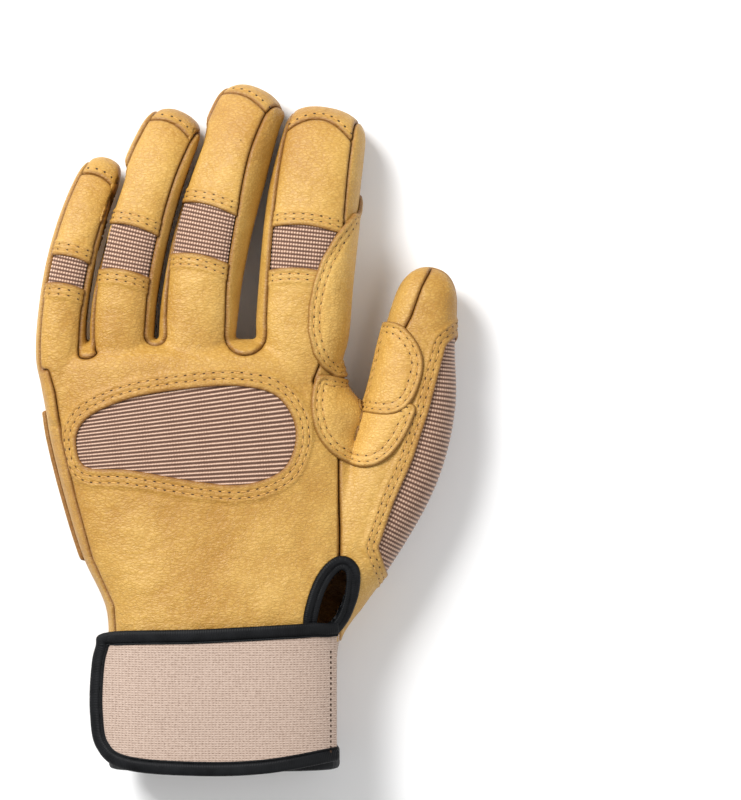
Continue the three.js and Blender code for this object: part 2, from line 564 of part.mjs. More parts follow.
// The cuff: a fabric band, the binding round its hem and the leather tab with its hole.
const bindingTop = hemY + hemHeight;
const cuffSection = handSection(0, 0);
const hole = new THREE.CylinderGeometry(clipHoleRadius, clipHoleRadius, 2 * middleZ, 16);
hole.rotateX(Math.PI / 2).translate(cuffSection.centre.x, hemY + clipHoleRise, 0);
const clipHole = solidOf(hole);
const cuffRegion = stretch(bindingTop + half, backHem - half, middleZ, far)
  .add(stretch(bindingTop + half, wristY - half, -far, middleZ));
add("cuff_band", "cuff_fabric", fabricWall.intersect(cuffRegion).subtract(clipHole));
add("cuff_binding", "black_binding",
  layer(bindingFold, -fabricRecess - fabric - bindingFold).intersect(stretch(hemY, bindingTop - half)));
const tabLeft = cuffSection.centre.x - tabWidth / 2;
const tabRight = cuffSection.centre.x + tabWidth / 2;
const tabCorners = [[tabLeft, bindingTop + half], [tabRight, bindingTop + half], [tabRight, wristY - half],
  [tabLeft, wristY - half]].map(([x, y]) => new THREE.Vector2(x, y));
add("pull_tab", "tan_leather", patchWall.intersect(below(tabCorners)).subtract(clipHole));

// The closure strap lies over the back of the cuff and leaves it straight where the cuff turns down.
function strapSlab(low, high) {
  const segments = 11;
  const geometry = new THREE.BoxGeometry(1, 1, 1, segments, 2, 1);
  const position = geometry.getAttribute("position");
  const [leave, end, outside] = [0.8, 0.985, -1.3];
  for (let i = 0; i < position.count; i += 1) {
    const y = THREE.MathUtils.lerp(hemY - bindingWidth, wristY + bindingWidth + bindingFold, position.getY(i) + 0.5);
    const lift = THREE.MathUtils.lerp(low, high, position.getZ(i) + 0.5);
    const at = handSection((y - handStart) / (handEnd - handStart), 0);
    const across = at.half + lift;
    const step = Math.round((position.getX(i) + 0.5) * segments);
    const turn = THREE.MathUtils.mapLinear(step, 1, segments, -Math.asin(leave), Math.asin(end));
    const x = step === 0 ? outside : Math.sin(turn);
    const curve = (u) => Math.pow(1 - Math.pow(Math.abs(u), at.squareness), 1 / at.squareness);
    const held = Math.max(x, -leave);
    const slope = (curve(-leave) - curve(-leave - 0.01)) / 0.01;
    const height = curve(held) + (x - held) * slope;
    position.setXYZ(i, at.centre.x + x * across, y, at.centre.z + (at.rise + lift) * height);
  }
  return solidOf(geometry);
}
const strapLow = bindingFold + 3 * seamGap;
const strapOutline = STRAP.map(onCuff);
const strapInside = grown(strapOutline, -bindingWidth);
const strapField = (grow) =>
  joined([0, bindingWidth + 2 * seamGap].map((shift) =>
    throughout(grown(strapInside, grow).map((point) => point.clone().add(new THREE.Vector2(shift, 0))))));
add("closure_strap", "cuff_fabric",
  strapSlab(strapLow, strapLow + strapThickness).intersect(throughout(strapOutline)).intersect(strapField(-half)));
add("strap_binding", "black_binding",
  strapSlab(strapLow, strapLow + strapThickness + bindingFold)
    .intersect(throughout(strapOutline))
    .subtract(strapField(half)));

// The origin lies below the middle of the glove, on the surface that it rests on.
const extent = new THREE.Box3().setFromObject(glove);
const middleOfGlove = extent.getCenter(new THREE.Vector3());
glove.position.set(-middleOfGlove.x, -middleOfGlove.y, -extent.min.z);

export default glove;
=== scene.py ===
# A left-hand climbing glove of tan leather, lying palm down: back of the hand up, fingers along +Y, thumb
# on +X.
import json
import math
import bmesh
import bpy
import numpy as np
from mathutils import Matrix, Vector
from mathutils.bvhtree import BVHTree

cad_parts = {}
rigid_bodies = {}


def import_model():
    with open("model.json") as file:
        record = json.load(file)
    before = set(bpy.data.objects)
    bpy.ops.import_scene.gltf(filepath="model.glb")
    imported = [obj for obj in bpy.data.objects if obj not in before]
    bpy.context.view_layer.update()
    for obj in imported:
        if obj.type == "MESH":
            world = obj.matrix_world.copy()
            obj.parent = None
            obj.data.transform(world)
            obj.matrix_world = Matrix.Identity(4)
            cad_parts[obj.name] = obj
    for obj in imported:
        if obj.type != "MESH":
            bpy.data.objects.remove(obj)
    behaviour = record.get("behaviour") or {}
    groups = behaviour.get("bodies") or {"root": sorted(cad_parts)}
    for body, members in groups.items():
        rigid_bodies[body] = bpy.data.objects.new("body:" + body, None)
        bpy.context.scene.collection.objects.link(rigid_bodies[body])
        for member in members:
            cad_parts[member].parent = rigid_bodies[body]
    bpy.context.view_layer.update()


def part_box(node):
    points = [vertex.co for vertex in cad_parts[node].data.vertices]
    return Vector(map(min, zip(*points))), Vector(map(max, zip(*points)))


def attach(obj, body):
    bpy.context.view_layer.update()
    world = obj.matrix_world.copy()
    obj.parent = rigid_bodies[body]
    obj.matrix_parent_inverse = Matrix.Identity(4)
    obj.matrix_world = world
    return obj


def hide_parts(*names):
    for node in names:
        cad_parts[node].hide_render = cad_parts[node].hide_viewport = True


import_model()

# The form. A glove takes the shape of the hand in it, so each wall is a stretch of one skin over a hand:
# the body of the palm, four fingers and a thumb. Each limb is lofted through its own sections, in
# millimetres, and the limbs are joined into one even skin.
palm_width = 109.0
palm_length = 106.0
palm_depth = 34.0
finger_length = 94.0
finger_width = 27.2
finger_depth = 22.5
cuff_length = 46.0
thumb_length = 122.0
thumb_width = 33.0
thumb_depth = 28.0
leather = 1.3
sole = 1.6
wrist_y = -0.68 * palm_length
hem_y = wrist_y - cuff_length
middle_z = 0.5 * palm_depth
fingertip = 11.0
knuckle_end = 12.0
root_tail = 22.0
seam_share = 0.8
bluntness = 2.4
hand_square = 2.7
finger_square = 2.5
thumb_root = (0.395 * palm_width, -0.525 * palm_length)
slit_width = 2.7
voxel = 0.9


def table(columns, *rows):
    return dict(zip(columns.split(), np.array(rows, float).T))


HAND = table(
    "palm cuff left right high",
    (-0.68, 1.1, -0.312, 0.44, 1.1),
    (-0.68, 0.5, -0.312, 0.44, 1.1),
    (-0.68, 0.0, -0.318, 0.45, 1.08),
    (-0.56, 0.0, -0.33, 0.52, 1.08),
    (-0.4, 0.0, -0.402, 0.56, 1.05),
    (-0.2, 0.0, -0.463, 0.54, 1.02),
    (0.0, 0.0, -0.512, 0.5, 1.0),
    (0.1, 0.0, -0.528, 0.52, 0.985),
    (0.18, 0.0, -0.537, 0.465, 0.97),
    (0.34, 0.0, -0.545, 0.455, 0.94),
)
HAND["along"] = HAND["palm"] * palm_length - HAND["cuff"] * cuff_length

FINGERS = {
    "little": dict(length=0.798, width=0.662, depth=0.867, root=(-0.479, 0.272), heading=13.9, bow=-0.056, roll=5,
                   insert=(0.35, 0.475), arc=0.875, arc_bulge=0.12, cap=0.84, pad=0.635, fold=0.42),
    "ring": dict(length=0.91, width=0.864, depth=0.978, root=(-0.281, 0.34), heading=15.6, bow=-0.055, roll=12,
                 insert=(0.275, 0.455), arc=0.905, arc_bulge=0.12, cap=0.785, pad=0.4, fold=0.2),
    "middle": dict(length=1, width=1, depth=1, root=(-0.029, 0.34), heading=14.2, bow=-0.048, roll=28,
                   insert=(0.305, 0.49), arc=0.92, arc_bulge=0.1, cap=0.78, pad=0.43, fold=0.2),
    "index": dict(length=0.904, width=1.176, depth=1.067, root=(0.317, 0.34), heading=6.6, bow=-0.015, roll=10,
                  insert=(0.28, 0.455), arc=0.865, arc_bulge=0.2, cap=0.825, pad=0.41, fold=0.2),
}
for finger in FINGERS.values():
    finger["length"] *= finger_length
    finger["width"] *= finger_width
    finger["depth"] *= finger_depth

SECTIONS = table(
    "along width depth height twist floor",
    (-0.3, 0.5, 1.0, 0.5, 0, 1),
    (-0.12, 0.78, 1.08, 0.5, 0, 1),
    (0, 0.98, 1.12, 0.51, 0, 1),
    (0.25, 1.01, 1.08, 0.54, 0.35, 1),
    (0.5, 1.02, 1.02, 0.54, 0.6, 0.5),
    (0.75, 1.0, 0.96, 0.46, 1, 0),
    (0.9, 0.96, 0.9, 0.35, 1, 0),
    (1, 0.9, 0.86, 0.27, 0.9, 0),
)

THUMB = table(
    "along x y width depth height",
    (0, 0, 0, 0.85, 1.05, 0.5),
    (0.22, 0.125, 0.19, 0.98, 1.07, 0.5),
    (0.42, 0.232, 0.38, 1.03, 1.02, 0.49),
    (0.6, 0.29, 0.56, 0.98, 0.96, 0.48),
    (0.77, 0.312, 0.73, 0.83, 0.88, 0.46),
    (0.9, 0.335, 0.86, 0.7, 0.8, 0.44),
    (1, 0.37, 0.965, 0.56, 0.7, 0.42),
)


def sample(rows, key, place):
    """A column of a table at places along it, on a smooth curve through its rows."""
    x, y = rows["along"], rows[key]
    place = np.clip(place, x[0], x[-1])
    i = np.clip(np.searchsorted(x, place, side="right") - 1, 0, len(x) - 2)
    before, after = np.maximum(i - 1, 0), np.minimum(i + 2, len(x) - 1)
    span = x[i + 1] - x[i]
    t = (place - x[i]) / span
    start = (y[i + 1] - y[before]) / (x[i + 1] - x[before]) * span
    end = (y[after] - y[i]) / (x[after] - x[i]) * span
    rise = y[i + 1] - y[i]
    return y[i] + t * (start + t * (3 * rise - 2 * start - end + t * (start + end - 2 * rise)))


def closing(to_end, radius):
    """How far a rounded end has closed: 1 on the limb, 0 at its very end."""
    left = np.clip(1 - to_end / radius, 0, 1)
    return (1 - left ** bluntness) ** (1 / bluntness)


def ring_places(count, round_count, round_share):
    """Places of a limb's rings as shares of its length, close together on its rounded end."""
    plain = np.linspace(0, 1 - round_share, count)
    turn = np.linspace(0, math.pi / 2, round_count + 1)[1:]
    return np.concatenate([plain, 1 - round_share * (1 - np.sin(turn))])


def ramp(values, start, end):
    """From 0 to 1 between a start and an end, without corners."""
    share = np.clip((values - start) / (end - start), 0, 1)
    return share * share * (3 - 2 * share)


def unit(vectors):
    return vectors / np.maximum(np.linalg.norm(vectors, axis=-1, keepdims=True), 1e-9)


class Limb:
    """A limb of the form: the place, centre, axes and half sizes of each of its sections, as arrays."""

    def __init__(self, place, centre, roll, half, rise, close, floor, square):
        ahead = np.gradient(centre, place, axis=0)
        ahead[:, 2] = 0
        ahead = unit(ahead)
        flat = np.stack([ahead[:, 1], -ahead[:, 0], np.zeros(len(place))], axis=1)
        turn = np.radians(roll)[:, None]
        upright = np.array([0.0, 0.0, 1.0])
        self.place, self.centre, self.ahead = place, centre, ahead
        self.across = np.cos(turn) * flat + np.sin(turn) * upright
        self.up = np.cos(turn) * upright - np.sin(turn) * flat
        self.half, self.rise, self.close, self.floor, self.square = half, rise, close, floor, square

    def at(self, name, place):
        values = getattr(self, name)
        if values.ndim == 1:
            return np.interp(place, self.place, values)
        return np.stack([np.interp(place, self.place, values[:, k]) for k in range(3)], axis=-1)

    def measure(self, points):
        """For each point: its place along the limb, and how far it lies across and above the middle line."""
        nearest = np.concatenate([
            np.argmin(((part[:, None, :2] - self.centre[None, :, :2]) ** 2).sum(2), axis=1)
            for part in np.array_split(points, max(1, len(points) // 20000))
        ])
        place = self.place[nearest]
        for _ in range(2):
            place = place + ((points - self.at("centre", place)) * self.at("ahead", place)).sum(1)
        away = points - self.at("centre", place)
        across = (away * self.at("across", place)).sum(1)
        above = (away * self.at("up", place)).sum(1)
        return np.stack([place, across, above], axis=1)

    def loft(self, bm, sides, shape=None):
        """Moves the rings of a sphere onto the sections."""
        rings = len(self.place) + 1
        made = bmesh.ops.create_uvsphere(bm, u_segments=sides, v_segments=rings, radius=1)
        for v in made["verts"]:
            ring = round((1 - math.acos(max(-1, min(1, v.co.z))) / math.pi) * rings)
            i = min(max(ring - 1, 0), len(self.place) - 1)
            turn = math.atan2(v.co.y, v.co.x)
            is_open = 0 < ring < rings
            bend = [is_open * math.copysign(abs(f) ** (2 / self.square), f)
                    for f in (math.cos(turn), math.sin(turn))]
            close = self.close[i]
            point = (self.centre[i]
                     + self.across[i] * self.half[i] * close * bend[0]
                     + self.up[i] * self.rise[i] * close * bend[1])
            point[2] = max(point[2], self.floor[i])
            v.co = Vector(shape(point) if shape else point)


def hand_limb():
    start, end = HAND["along"][0], HAND["along"][-1]
    y = start + (end - start) * ring_places(60, 10, 0.075)
    left, right = (sample(HAND, key, y) * palm_width for key in ("left", "right"))
    high = sample(HAND, "high", y) * palm_depth
    close = closing(end - y, knuckle_end)
    centre = np.stack([(left + right) / 2, y, high / 2], axis=1)
    hand = Limb(y, centre, 0 * y, (right - left) / 2, high / 2, close, 0 * y + sole, hand_square)
    hand.ahead[:] = (0, 1, 0)
    hand.across[:] = (1, 0, 0)
    hand.half = hand.half / np.sqrt(np.maximum(close, 1e-6))
    return hand


def finger_line(finger, distance):
    """Points of a finger's middle line. Inside the hand the line runs straight back."""
    turn = np.where(distance > 0, math.radians(finger["heading"]), 0)
    t = distance / finger["length"]
    bow = np.where(t > 0, 4 * t * (1 - t) * finger["bow"] * finger["length"], 0)
    x = finger["root"][0] * palm_width + np.sin(turn) * distance + np.cos(turn) * bow
    y = finger["root"][1] * palm_length + np.cos(turn) * distance - np.sin(turn) * bow
    return np.stack([x, y, sample(SECTIONS, "height", np.minimum(t, 1)) * palm_depth], axis=-1)


def finger_limb(finger):
    length = finger["length"]
    distance = ring_places(44, 12, fingertip / (length + root_tail)) * (length + root_tail) - root_tail
    t = distance / length
    row = {key: sample(SECTIONS, key, t) for key in ("width", "depth", "twist", "floor")}
    return Limb(distance, finger_line(finger, distance), finger["roll"] * row["twist"],
                finger["width"] * row["width"] / 2, finger["depth"] * row["depth"] / 2,
                closing(length - distance, fingertip), sole * row["floor"], finger_square)


def thumb_limb():
    place = ring_places(50, 12, fingertip / thumb_length) * thumb_length
    t = place / thumb_length
    row = {key: sample(THUMB, key, t) for key in ("x", "y", "width", "depth", "height")}
    centre = np.stack([thumb_root[0] + row["x"] * palm_width, thumb_root[1] + row["y"] * thumb_length,
                       row["height"] * palm_depth], axis=1)
    return Limb(place, centre, 0 * t, thumb_width * row["width"] / 2, thumb_depth * row["depth"] / 2,
                closing(thumb_length - place, fingertip), 0 * t + sole, finger_square)


def side_line(name, y, edge):
    """Where a finger's side lies in the plan at a height y. Past its tip the side draws back."""
    finger, limb = FINGERS[name], limbs[name]
    turn, length, half = math.radians(finger["heading"]), finger["length"], finger["width"] / 2
    for _ in range(3):
        distance = (y - finger["root"][1] * palm_length + edge * half * math.sin(turn)) / math.cos(turn)
        half = limb.at("half", distance) * limb.at("close", distance)
    past_tip = np.maximum(distance - length, 0)
    middle = finger_line(finger, np.minimum(distance, length))[..., 0] + math.sin(turn) * past_tip
    return middle + edge * (half * math.cos(turn) - 1.2 * past_tip)


def slit_line(left, right, y):
    """The line in the plan that parts two neighbouring fingers, halfway between their sides."""
    return (side_line(left, y, 1) + side_line(right, y, -1)) / 2


def between_neighbours(name):
    """Keeps a finger's points on its own side of the slits beside it."""
    i = NAMES.index(name)

    def shape(point):
        x, y = point[0], np.array(point[1])
        if i < len(NAMES) - 1:
            x = min(x, slit_line(name, NAMES[i + 1], y) - slit_width / 2)
        if i > 0:
            x = max(x, slit_line(NAMES[i - 1], name, y) + slit_width / 2)
        return (x, point[1], point[2])

    return shape


NAMES = list(FINGERS)
limbs = {name: finger_limb(FINGERS[name]) for name in NAMES}
limbs["thumb"] = thumb_limb()
limbs["hand"] = hand_limb()


def form_mesh():
    bm = bmesh.new()
    limbs["hand"].loft(bm, 72)
    for name in NAMES:
        limbs[name].loft(bm, 40, between_neighbours(name))
    limbs["thumb"].loft(bm, 44)
    for v in bm.verts:
        v.co *= 0.001
    mesh = bpy.data.meshes.new("form")
    bm.to_mesh(mesh)
    body = bpy.data.objects.new("form", mesh)
    bpy.context.scene.collection.objects.link(body)
    remesh = body.modifiers.new("join", "REMESH")
    remesh.mode = "VOXEL"
    remesh.voxel_size = voxel * 0.001
    graph = bpy.context.evaluated_depsgraph_get()
    even = bpy.data.meshes.new_from_object(body.evaluated_get(graph))
    bm.free()
    bm = bmesh.new()
    bm.from_mesh(even)
    bpy.data.objects.remove(body)
    for _ in range(5):
        bmesh.ops.smooth_vert(bm, verts=bm.verts, factor=0.5, use_axis_x=True, use_axis_y=True, use_axis_z=True)
    bmesh.ops.triangulate(bm, faces=bm.faces)
    points = np.array([v.co for v in bm.verts]) * 1000
    faces = np.array([[v.index for v in f.verts] for f in bm.faces])
    bm.free()
    return points, faces


form_points, form_faces = form_mesh()


class Skin:
    """A stretch of skin: triangles between points, each with named values that follow every cut."""

    def __init__(self, faces, **values):
        self.faces = faces
        self.values = values

    def __getitem__(self, key):
        return self.values[key]

    def edges(self):
        """The two ends of every face's three edges, in the faces' own direction."""
        return self.faces.reshape(-1), np.roll(self.faces, -1, axis=1).reshape(-1)

    def only(self, wanted):
        """A skin of the wanted faces alone."""
        faces = self.faces[wanted]
        used, faces = np.unique(faces, return_inverse=True)
        return Skin(faces.reshape(-1, 3), **{key: value[used] for key, value in self.values.items()})

    def normals(self, points):
        corner = points[self.faces]
        cross = np.cross(corner[:, 1] - corner[:, 0], corner[:, 2] - corner[:, 0])
        return unit(self.gather(cross))

    def gather(self, of_faces):
        """The sum of the faces' values at each point."""
        count = len(self["rest"])
        columns = of_faces.reshape(len(of_faces), -1).T
        sums = [sum(np.bincount(self.faces[:, k], column, count) for k in range(3)) for column in columns]
        return np.stack(sums, axis=1).reshape((count,) + of_faces.shape[1:])

    def steepest(self, values):
        """The way and the rate at which values rise along each face, and the face's size."""
        corner, value = self["rest"][self.faces], values[self.faces]
        cross = np.cross(corner[:, 1] - corner[:, 0], corner[:, 2] - corner[:, 0])
        edge = np.roll(corner, -2, axis=1) - np.roll(corner, -1, axis=1)
        size = np.maximum((cross ** 2).sum(1, keepdims=True), 1e-9)
        rise = (value[:, :, None] * np.cross(cross[:, None, :], edge)).sum(1) / size
        return rise, np.linalg.norm(cross, axis=1)

    def slope(self, values):
        """How fast the values change along the skin at each point."""
        rise, area = self.steepest(values)
        return self.gather(np.linalg.norm(rise, axis=1) * area) / np.maximum(self.gather(area), 1e-9)

    def smooth(self, values, times):
        """Rounds the corners of a field: each value tends to what its neighbours and their slopes foretell."""
        start, end = self.edges()
        apart = self["rest"][start] - self["rest"][end]
        count = np.bincount(start, minlength=len(values)) + np.bincount(end, minlength=len(values))
        for _ in range(times):
            rise, area = self.steepest(values)
            rise = self.gather(rise * area[:, None]) / np.maximum(self.gather(area), 1e-9)[:, None]
            step = ((rise[start] + rise[end]) * apart).sum(1) / 2
            sums = (np.bincount(start, values[end] + step, len(values))
                    + np.bincount(end, values[start] - step, len(values)))
            values = (values + sums / np.maximum(count, 1)) / 2
        return values

    def cut(self, key, level):
        """Puts points where the named value crosses the level, so that edges follow that line."""
        count = len(self["rest"])
        away = self.values[key] - level
        away[np.abs(away) < 0.04] = 0
        self.values[key] = away + level
        start, end = self.edges()
        crossing = away[start] * away[end] < 0
        low, high = np.minimum(start, end), np.maximum(start, end)
        found, index = np.unique((low * count + high)[crossing], return_inverse=True)
        low, high = found // count, found % count
        t = away[low] / (away[low] - away[high])
        for name, value in self.values.items():
            share = t if value.ndim == 1 else t[:, None]
            self.values[name] = np.concatenate([value, value[low] + (value[high] - value[low]) * share])
        self.values[key][count:] = level
        new = np.full(len(start), -1)
        new[crossing] = count + index
        new = new.reshape(-1, 3)
        cuts = (new >= 0).sum(1)
        parts = [self.faces[cuts == 0]]
        for k in range(3):
            a, b, c = (self.faces[:, (k + step) % 3] for step in range(3))
            ab, bc, ca = (new[:, (k + step) % 3] for step in range(3))
            two = (ab >= 0) & (ca >= 0)
            one = (bc >= 0) & (cuts == 1)
            parts += [np.stack(corners, axis=1)[two] for corners in ((a, ab, ca), (ab, b, c), (ab, c, ca))]
            parts += [np.stack(corners, axis=1)[one] for corners in ((a, b, bc), (a, bc, c))]
        self.faces = np.concatenate(parts)

    def rows(self, key, level):
        """The lines of points that a cut left at a level, each in order."""
        start, end = self.edges()
        on = np.abs(self.values[key] - level) < 1e-6
        both = on[start] & on[end]
        beside = {}
        for a, b in {(min(a, b), max(a, b)) for a, b in zip(start[both].tolist(), end[both].tolist())}:
            beside.setdefault(a, []).append(b)
            beside.setdefault(b, []).append(a)
        lines = []
        ends = [point for point, others in beside.items() if len(others) == 1]
        for first in ends + list(beside):
            line = [first]
            while beside.get(line[-1]):
                after = beside[line[-1]].pop()
                beside[after].remove(line[-1])
                line.append(after)
            if len(line) > 1:
                lines.append(np.array(line))
        return lines


form = Skin(form_faces, rest=form_points)
form.values["normal"] = form.normals(form_points)
form_tree = BVHTree.FromPolygons(form_points.tolist(), form_faces.tolist())
X, Y, Z = form_points.T
PLACES = {name: limb.measure(form_points) for name, limb in limbs.items() if name != "hand"}


# Outlines in the plan are shares of the palm's width and length, on the thumb of its own length from its
# root.
def on_palm(*rows):
    return np.array(rows) * (palm_width, palm_length)


def on_thumb(*rows):
    return np.array(rows) * (palm_width, thumb_length) + (0, thumb_root[1])


def rounded(points, per_side=6):
    """A closed smooth curve through the points."""
    before, after = np.roll(points, 1, axis=0), np.roll(points, -1, axis=0)
    beyond = np.roll(points, -2, axis=0)
    t = np.linspace(0, 1, per_side, endpoint=False)[None, :, None]
    p0, p1, p2, p3 = (p[:, None, :] for p in (before, points, after, beyond))
    curve = 0.5 * (2 * p1 + (p2 - p0) * t + (2 * p0 - 5 * p1 + 4 * p2 - p3) * t ** 2
                   + (3 * p1 - p0 - 3 * p2 + p3) * t ** 3)
    return curve.reshape(-1, 2)


def each_side(x, y, outline):
    """Each side of an outline: its two ends, and each point's share along it and square distance from it."""
    for (ax, ay), (bx, by) in zip(outline, np.roll(outline, -1, axis=0)):
        dx, dy = bx - ax, by - ay
        t = np.clip(((x - ax) * dx + (y - ay) * dy) / max(dx * dx + dy * dy, 1e-9), 0, 1)
        yield ax, ay, bx, by, t, (x - ax - t * dx) ** 2 + (y - ay - t * dy) ** 2


def inside_outline(x, y, outline):
    """How far points lie outside an outline, less than zero inside it."""
    nearest = np.full(len(x), 1e9)
    inside = np.zeros(len(x), bool)
    for ax, ay, bx, by, _, away in each_side(x, y, outline):
        nearest = np.minimum(nearest, away)
        if by != ay:
            inside ^= ((ay > y) != (by > y)) & (x < ax + (y - ay) * (bx - ax) / (by - ay))
    return np.sqrt(nearest) * np.where(inside, -1, 1)


# A piece that passes from the back to the front changes its outline within this much of the side's middle.
turn_over = 5


def on_back(outline):
    return np.maximum(inside_outline(X, Y, outline), middle_z - Z)


rim_reach = 12


def rim_distance(outline):
    """How far points lie from an outline that is drawn on the back of the form, less than zero inside it."""
    hits = [form_tree.ray_cast(Vector((x, y, 100)), Vector((0, 0, -1)))[0] for x, y in outline.tolist()]
    rim = np.array([tuple(hit) for hit in hits if hit])
    plan = inside_outline(X, Y, outline)
    nearest = np.abs(plan) * 2 + 5
    close = np.flatnonzero(np.abs(plan) < rim_reach)
    for a, b in zip(rim, np.roll(rim, -1, axis=0)):
        along = b - a
        t = np.clip(((form_points[close] - a) * along).sum(1) / max((along ** 2).sum(), 1e-9), 0, 1)
        away = np.linalg.norm(form_points[close] - a - t[:, None] * along, axis=1)
        nearest[close] = np.minimum(nearest[close], away)
    return np.where((plan < 0) & (Z > middle_z), -nearest, nearest)


def on_front(outline):
    return np.maximum(inside_outline(X, Y, outline), Z - middle_z)


def around(back, front):
    """Inside one outline on the back of the glove and inside another on its front."""
    share = ramp(Z, middle_z - turn_over, middle_z + turn_over)
    return inside_outline(X, Y, back) * share + inside_outline(X, Y, front) * (1 - share)


def across(name):
    """A point's place across a finger: 0 on its middle line and 1 at its side."""
    return PLACES[name][:, 1] / np.maximum(limbs[name].at("half", PLACES[name][:, 0]), 1)


def ground(name):
    """How far points lie outside a finger's own ground between the slits."""
    i = NAMES.index(name)
    right = X - slit_line(name, NAMES[i + 1], Y) if i < len(NAMES) - 1 else -1e3
    left = slit_line(NAMES[i - 1], name, Y) - X if i else -1e3
    return np.maximum(right, left)


GROUNDS = {name: ground(name) for name in NAMES}
tongue_start = 0.05
tip_reach = 1.5
tip_lap = 1.15


def strip(name, side):
    """The stretch between a finger's two long seams, on its back (1) or its front (-1)."""
    place, _, above = PLACES[name].T
    half = limbs[name].at("half", place)
    beside = (np.abs(across(name)) - seam_share) * half
    length = FINGERS[name]["length"]
    return np.maximum.reduce([beside, -side * above, -tongue_start * length - place, place - length - tip_reach,
                              GROUNDS[name] - 1])


def past(name, share, bulge=0.0):
    """How far points lie past a line across a finger, which bulges towards its tip."""
    finger = FINGERS[name]
    bow = bulge * finger["width"] * (1 - np.clip(across(name) / seam_share, -1, 1) ** 2)
    return PLACES[name][:, 0] - share * finger["length"] - bow


def seam_point(name, share, edge, side):
    limb, place = limbs[name], share * FINGERS[name]["length"]
    point = (limb.at("centre", place) + limb.at("across", place) * edge * seam_share * limb.at("half", place)
             + limb.at("up", place) * side * limb.at("rise", place))
    return point[:2]


notch_share = 0.02
outline_share = 0.08


def notch(left, right, side):
    """The round foot of the slit between two fingers."""
    start, end = seam_point(left, notch_share, 1, side), seam_point(right, notch_share, -1, side)
    middle, radius = (start + end) / 2, np.linalg.norm(end - start) / 2
    turn = math.atan2(*(start - middle)[::-1]) + np.linspace(0, math.pi, 9)
    return middle + radius * np.stack([np.cos(turn), np.sin(turn)], axis=1)


def hand_outline(left_seam, right_seam, side):
    points = list(left_seam)
    for i, name in enumerate(NAMES):
        points += [seam_point(name, outline_share, -1, side), seam_point(name, outline_share, 1, side)]
        if i < len(NAMES) - 1:
            points += list(notch(name, NAMES[i + 1], side))
    return np.array(points + list(right_seam))


BACK_LEFT_SEAM = on_palm((-0.28, -0.9), (-0.3, -0.56), (-0.372, -0.4), (-0.425, -0.2), (-0.47, 0), (-0.492, 0.16))
BACK_RIGHT_SEAM = on_palm((0.36, 0.2), (0.4, 0.08), (0.446, -0.06), (0.446, -0.9))
PALM_LEFT_SEAM = on_palm((-0.3, -0.9), (-0.31, -0.56), (-0.38, -0.4), (-0.43, -0.2), (-0.475, 0), (-0.497, 0.16))
PALM_RIGHT_SEAM = on_palm((0.4, 0.26), (0.42, 0.14), (0.3, 0.06), (0.225, -0.1), (0.19, -0.22), (0.115, -0.39),
                          (0.09, -0.53), (0.075, -0.9))
THUMB_SLIT = on_palm((0.47, 0.126), (0.485, 0.187), (0.512, 0.306), (0.528, 0.41), (0.55, 0.51), (0.595, 0.6),
                     (0.66, 0.75), (0.7, 1.2))
BEYOND = on_palm((1.2, 1.2), (1.2, -0.9))
KNUCKLE_WINDOW = rounded(on_palm(
    (-0.42, -0.015), (-0.4, 0.055), (-0.33, 0.105), (-0.2, 0.15), (0, 0.178), (0.13, 0.18), (0.235, 0.15),
    (0.292, 0.07), (0.297, -0.02), (0.25, -0.105), (0.13, -0.148), (-0.02, -0.138), (-0.24, -0.1), (-0.385, -0.09)))
VENT = rounded(on_palm(
    (0.37, -0.62), (0.385, -0.54), (0.412, -0.475), (0.448, -0.437), (0.468, -0.455), (0.462, -0.53), (0.44, -0.595),
    (0.405, -0.63)))
THUMB_PANEL_BACK = on_thumb((0.84, 0.769), (0.796, 0.734), (0.74, 0.543), (0.685, 0.395), (0.625, 0.274),
                            (0.575, 0.143), (0.605, 0.056), (0.76, 0.091), (0.96, 0.369), (0.96, 0.769))
THUMB_PANEL_FRONT = on_thumb((0.84, 0.769), (0.79, 0.682), (0.735, 0.543), (0.68, 0.404), (0.62, 0.282),
                             (0.57, 0.152), (0.605, 0.056), (0.76, 0.091), (0.96, 0.369), (0.96, 0.769))
THUMB_BACK = on_thumb((0.446, -0.326), (0.446, 0.404), (0.46, 0.552), (0.6, 0.691), (0.68, 0.821), (0.715, 0.908),
                      (0.765, 0.995), (1.2, 0.995), (1.2, -0.326))

under_strap = 0.1 * cuff_length
under_strap_left = ramp(X, 0.43 * palm_width, 0.37 * palm_width)
hem_line = wrist_y - under_strap * ramp(Z, middle_z, middle_z + 3) * under_strap_left
hem = hem_line - Y
tip_share = 0.975


def softly(values, times=5):
    return form.smooth(values, times)


# Seams that several pieces share, each as a field over the form: less than zero on the named side.
back_zone = softly(np.minimum.reduce(
    [on_back(hand_outline(BACK_LEFT_SEAM, BACK_RIGHT_SEAM, 1))] + [strip(name, 1) for name in NAMES]))
palm_zone = softly(np.minimum.reduce(
    [on_front(hand_outline(PALM_LEFT_SEAM, PALM_RIGHT_SEAM, -1))] + [strip(name, -1) for name in NAMES]))
thumb_zone = softly(around(np.concatenate([BACK_RIGHT_SEAM[:1:-1], THUMB_SLIT, BEYOND]),
                           np.concatenate([PALM_RIGHT_SEAM[:0:-1], THUMB_SLIT, BEYOND])), 3)
thumb_back_zone = softly(on_back(THUMB_BACK), 3)
panel_zone = softly(around(THUMB_PANEL_BACK, THUMB_PANEL_FRONT), 3)
window = on_back(KNUCKLE_WINDOW)
vent = rim_distance(VENT)
vent_band = 5.0


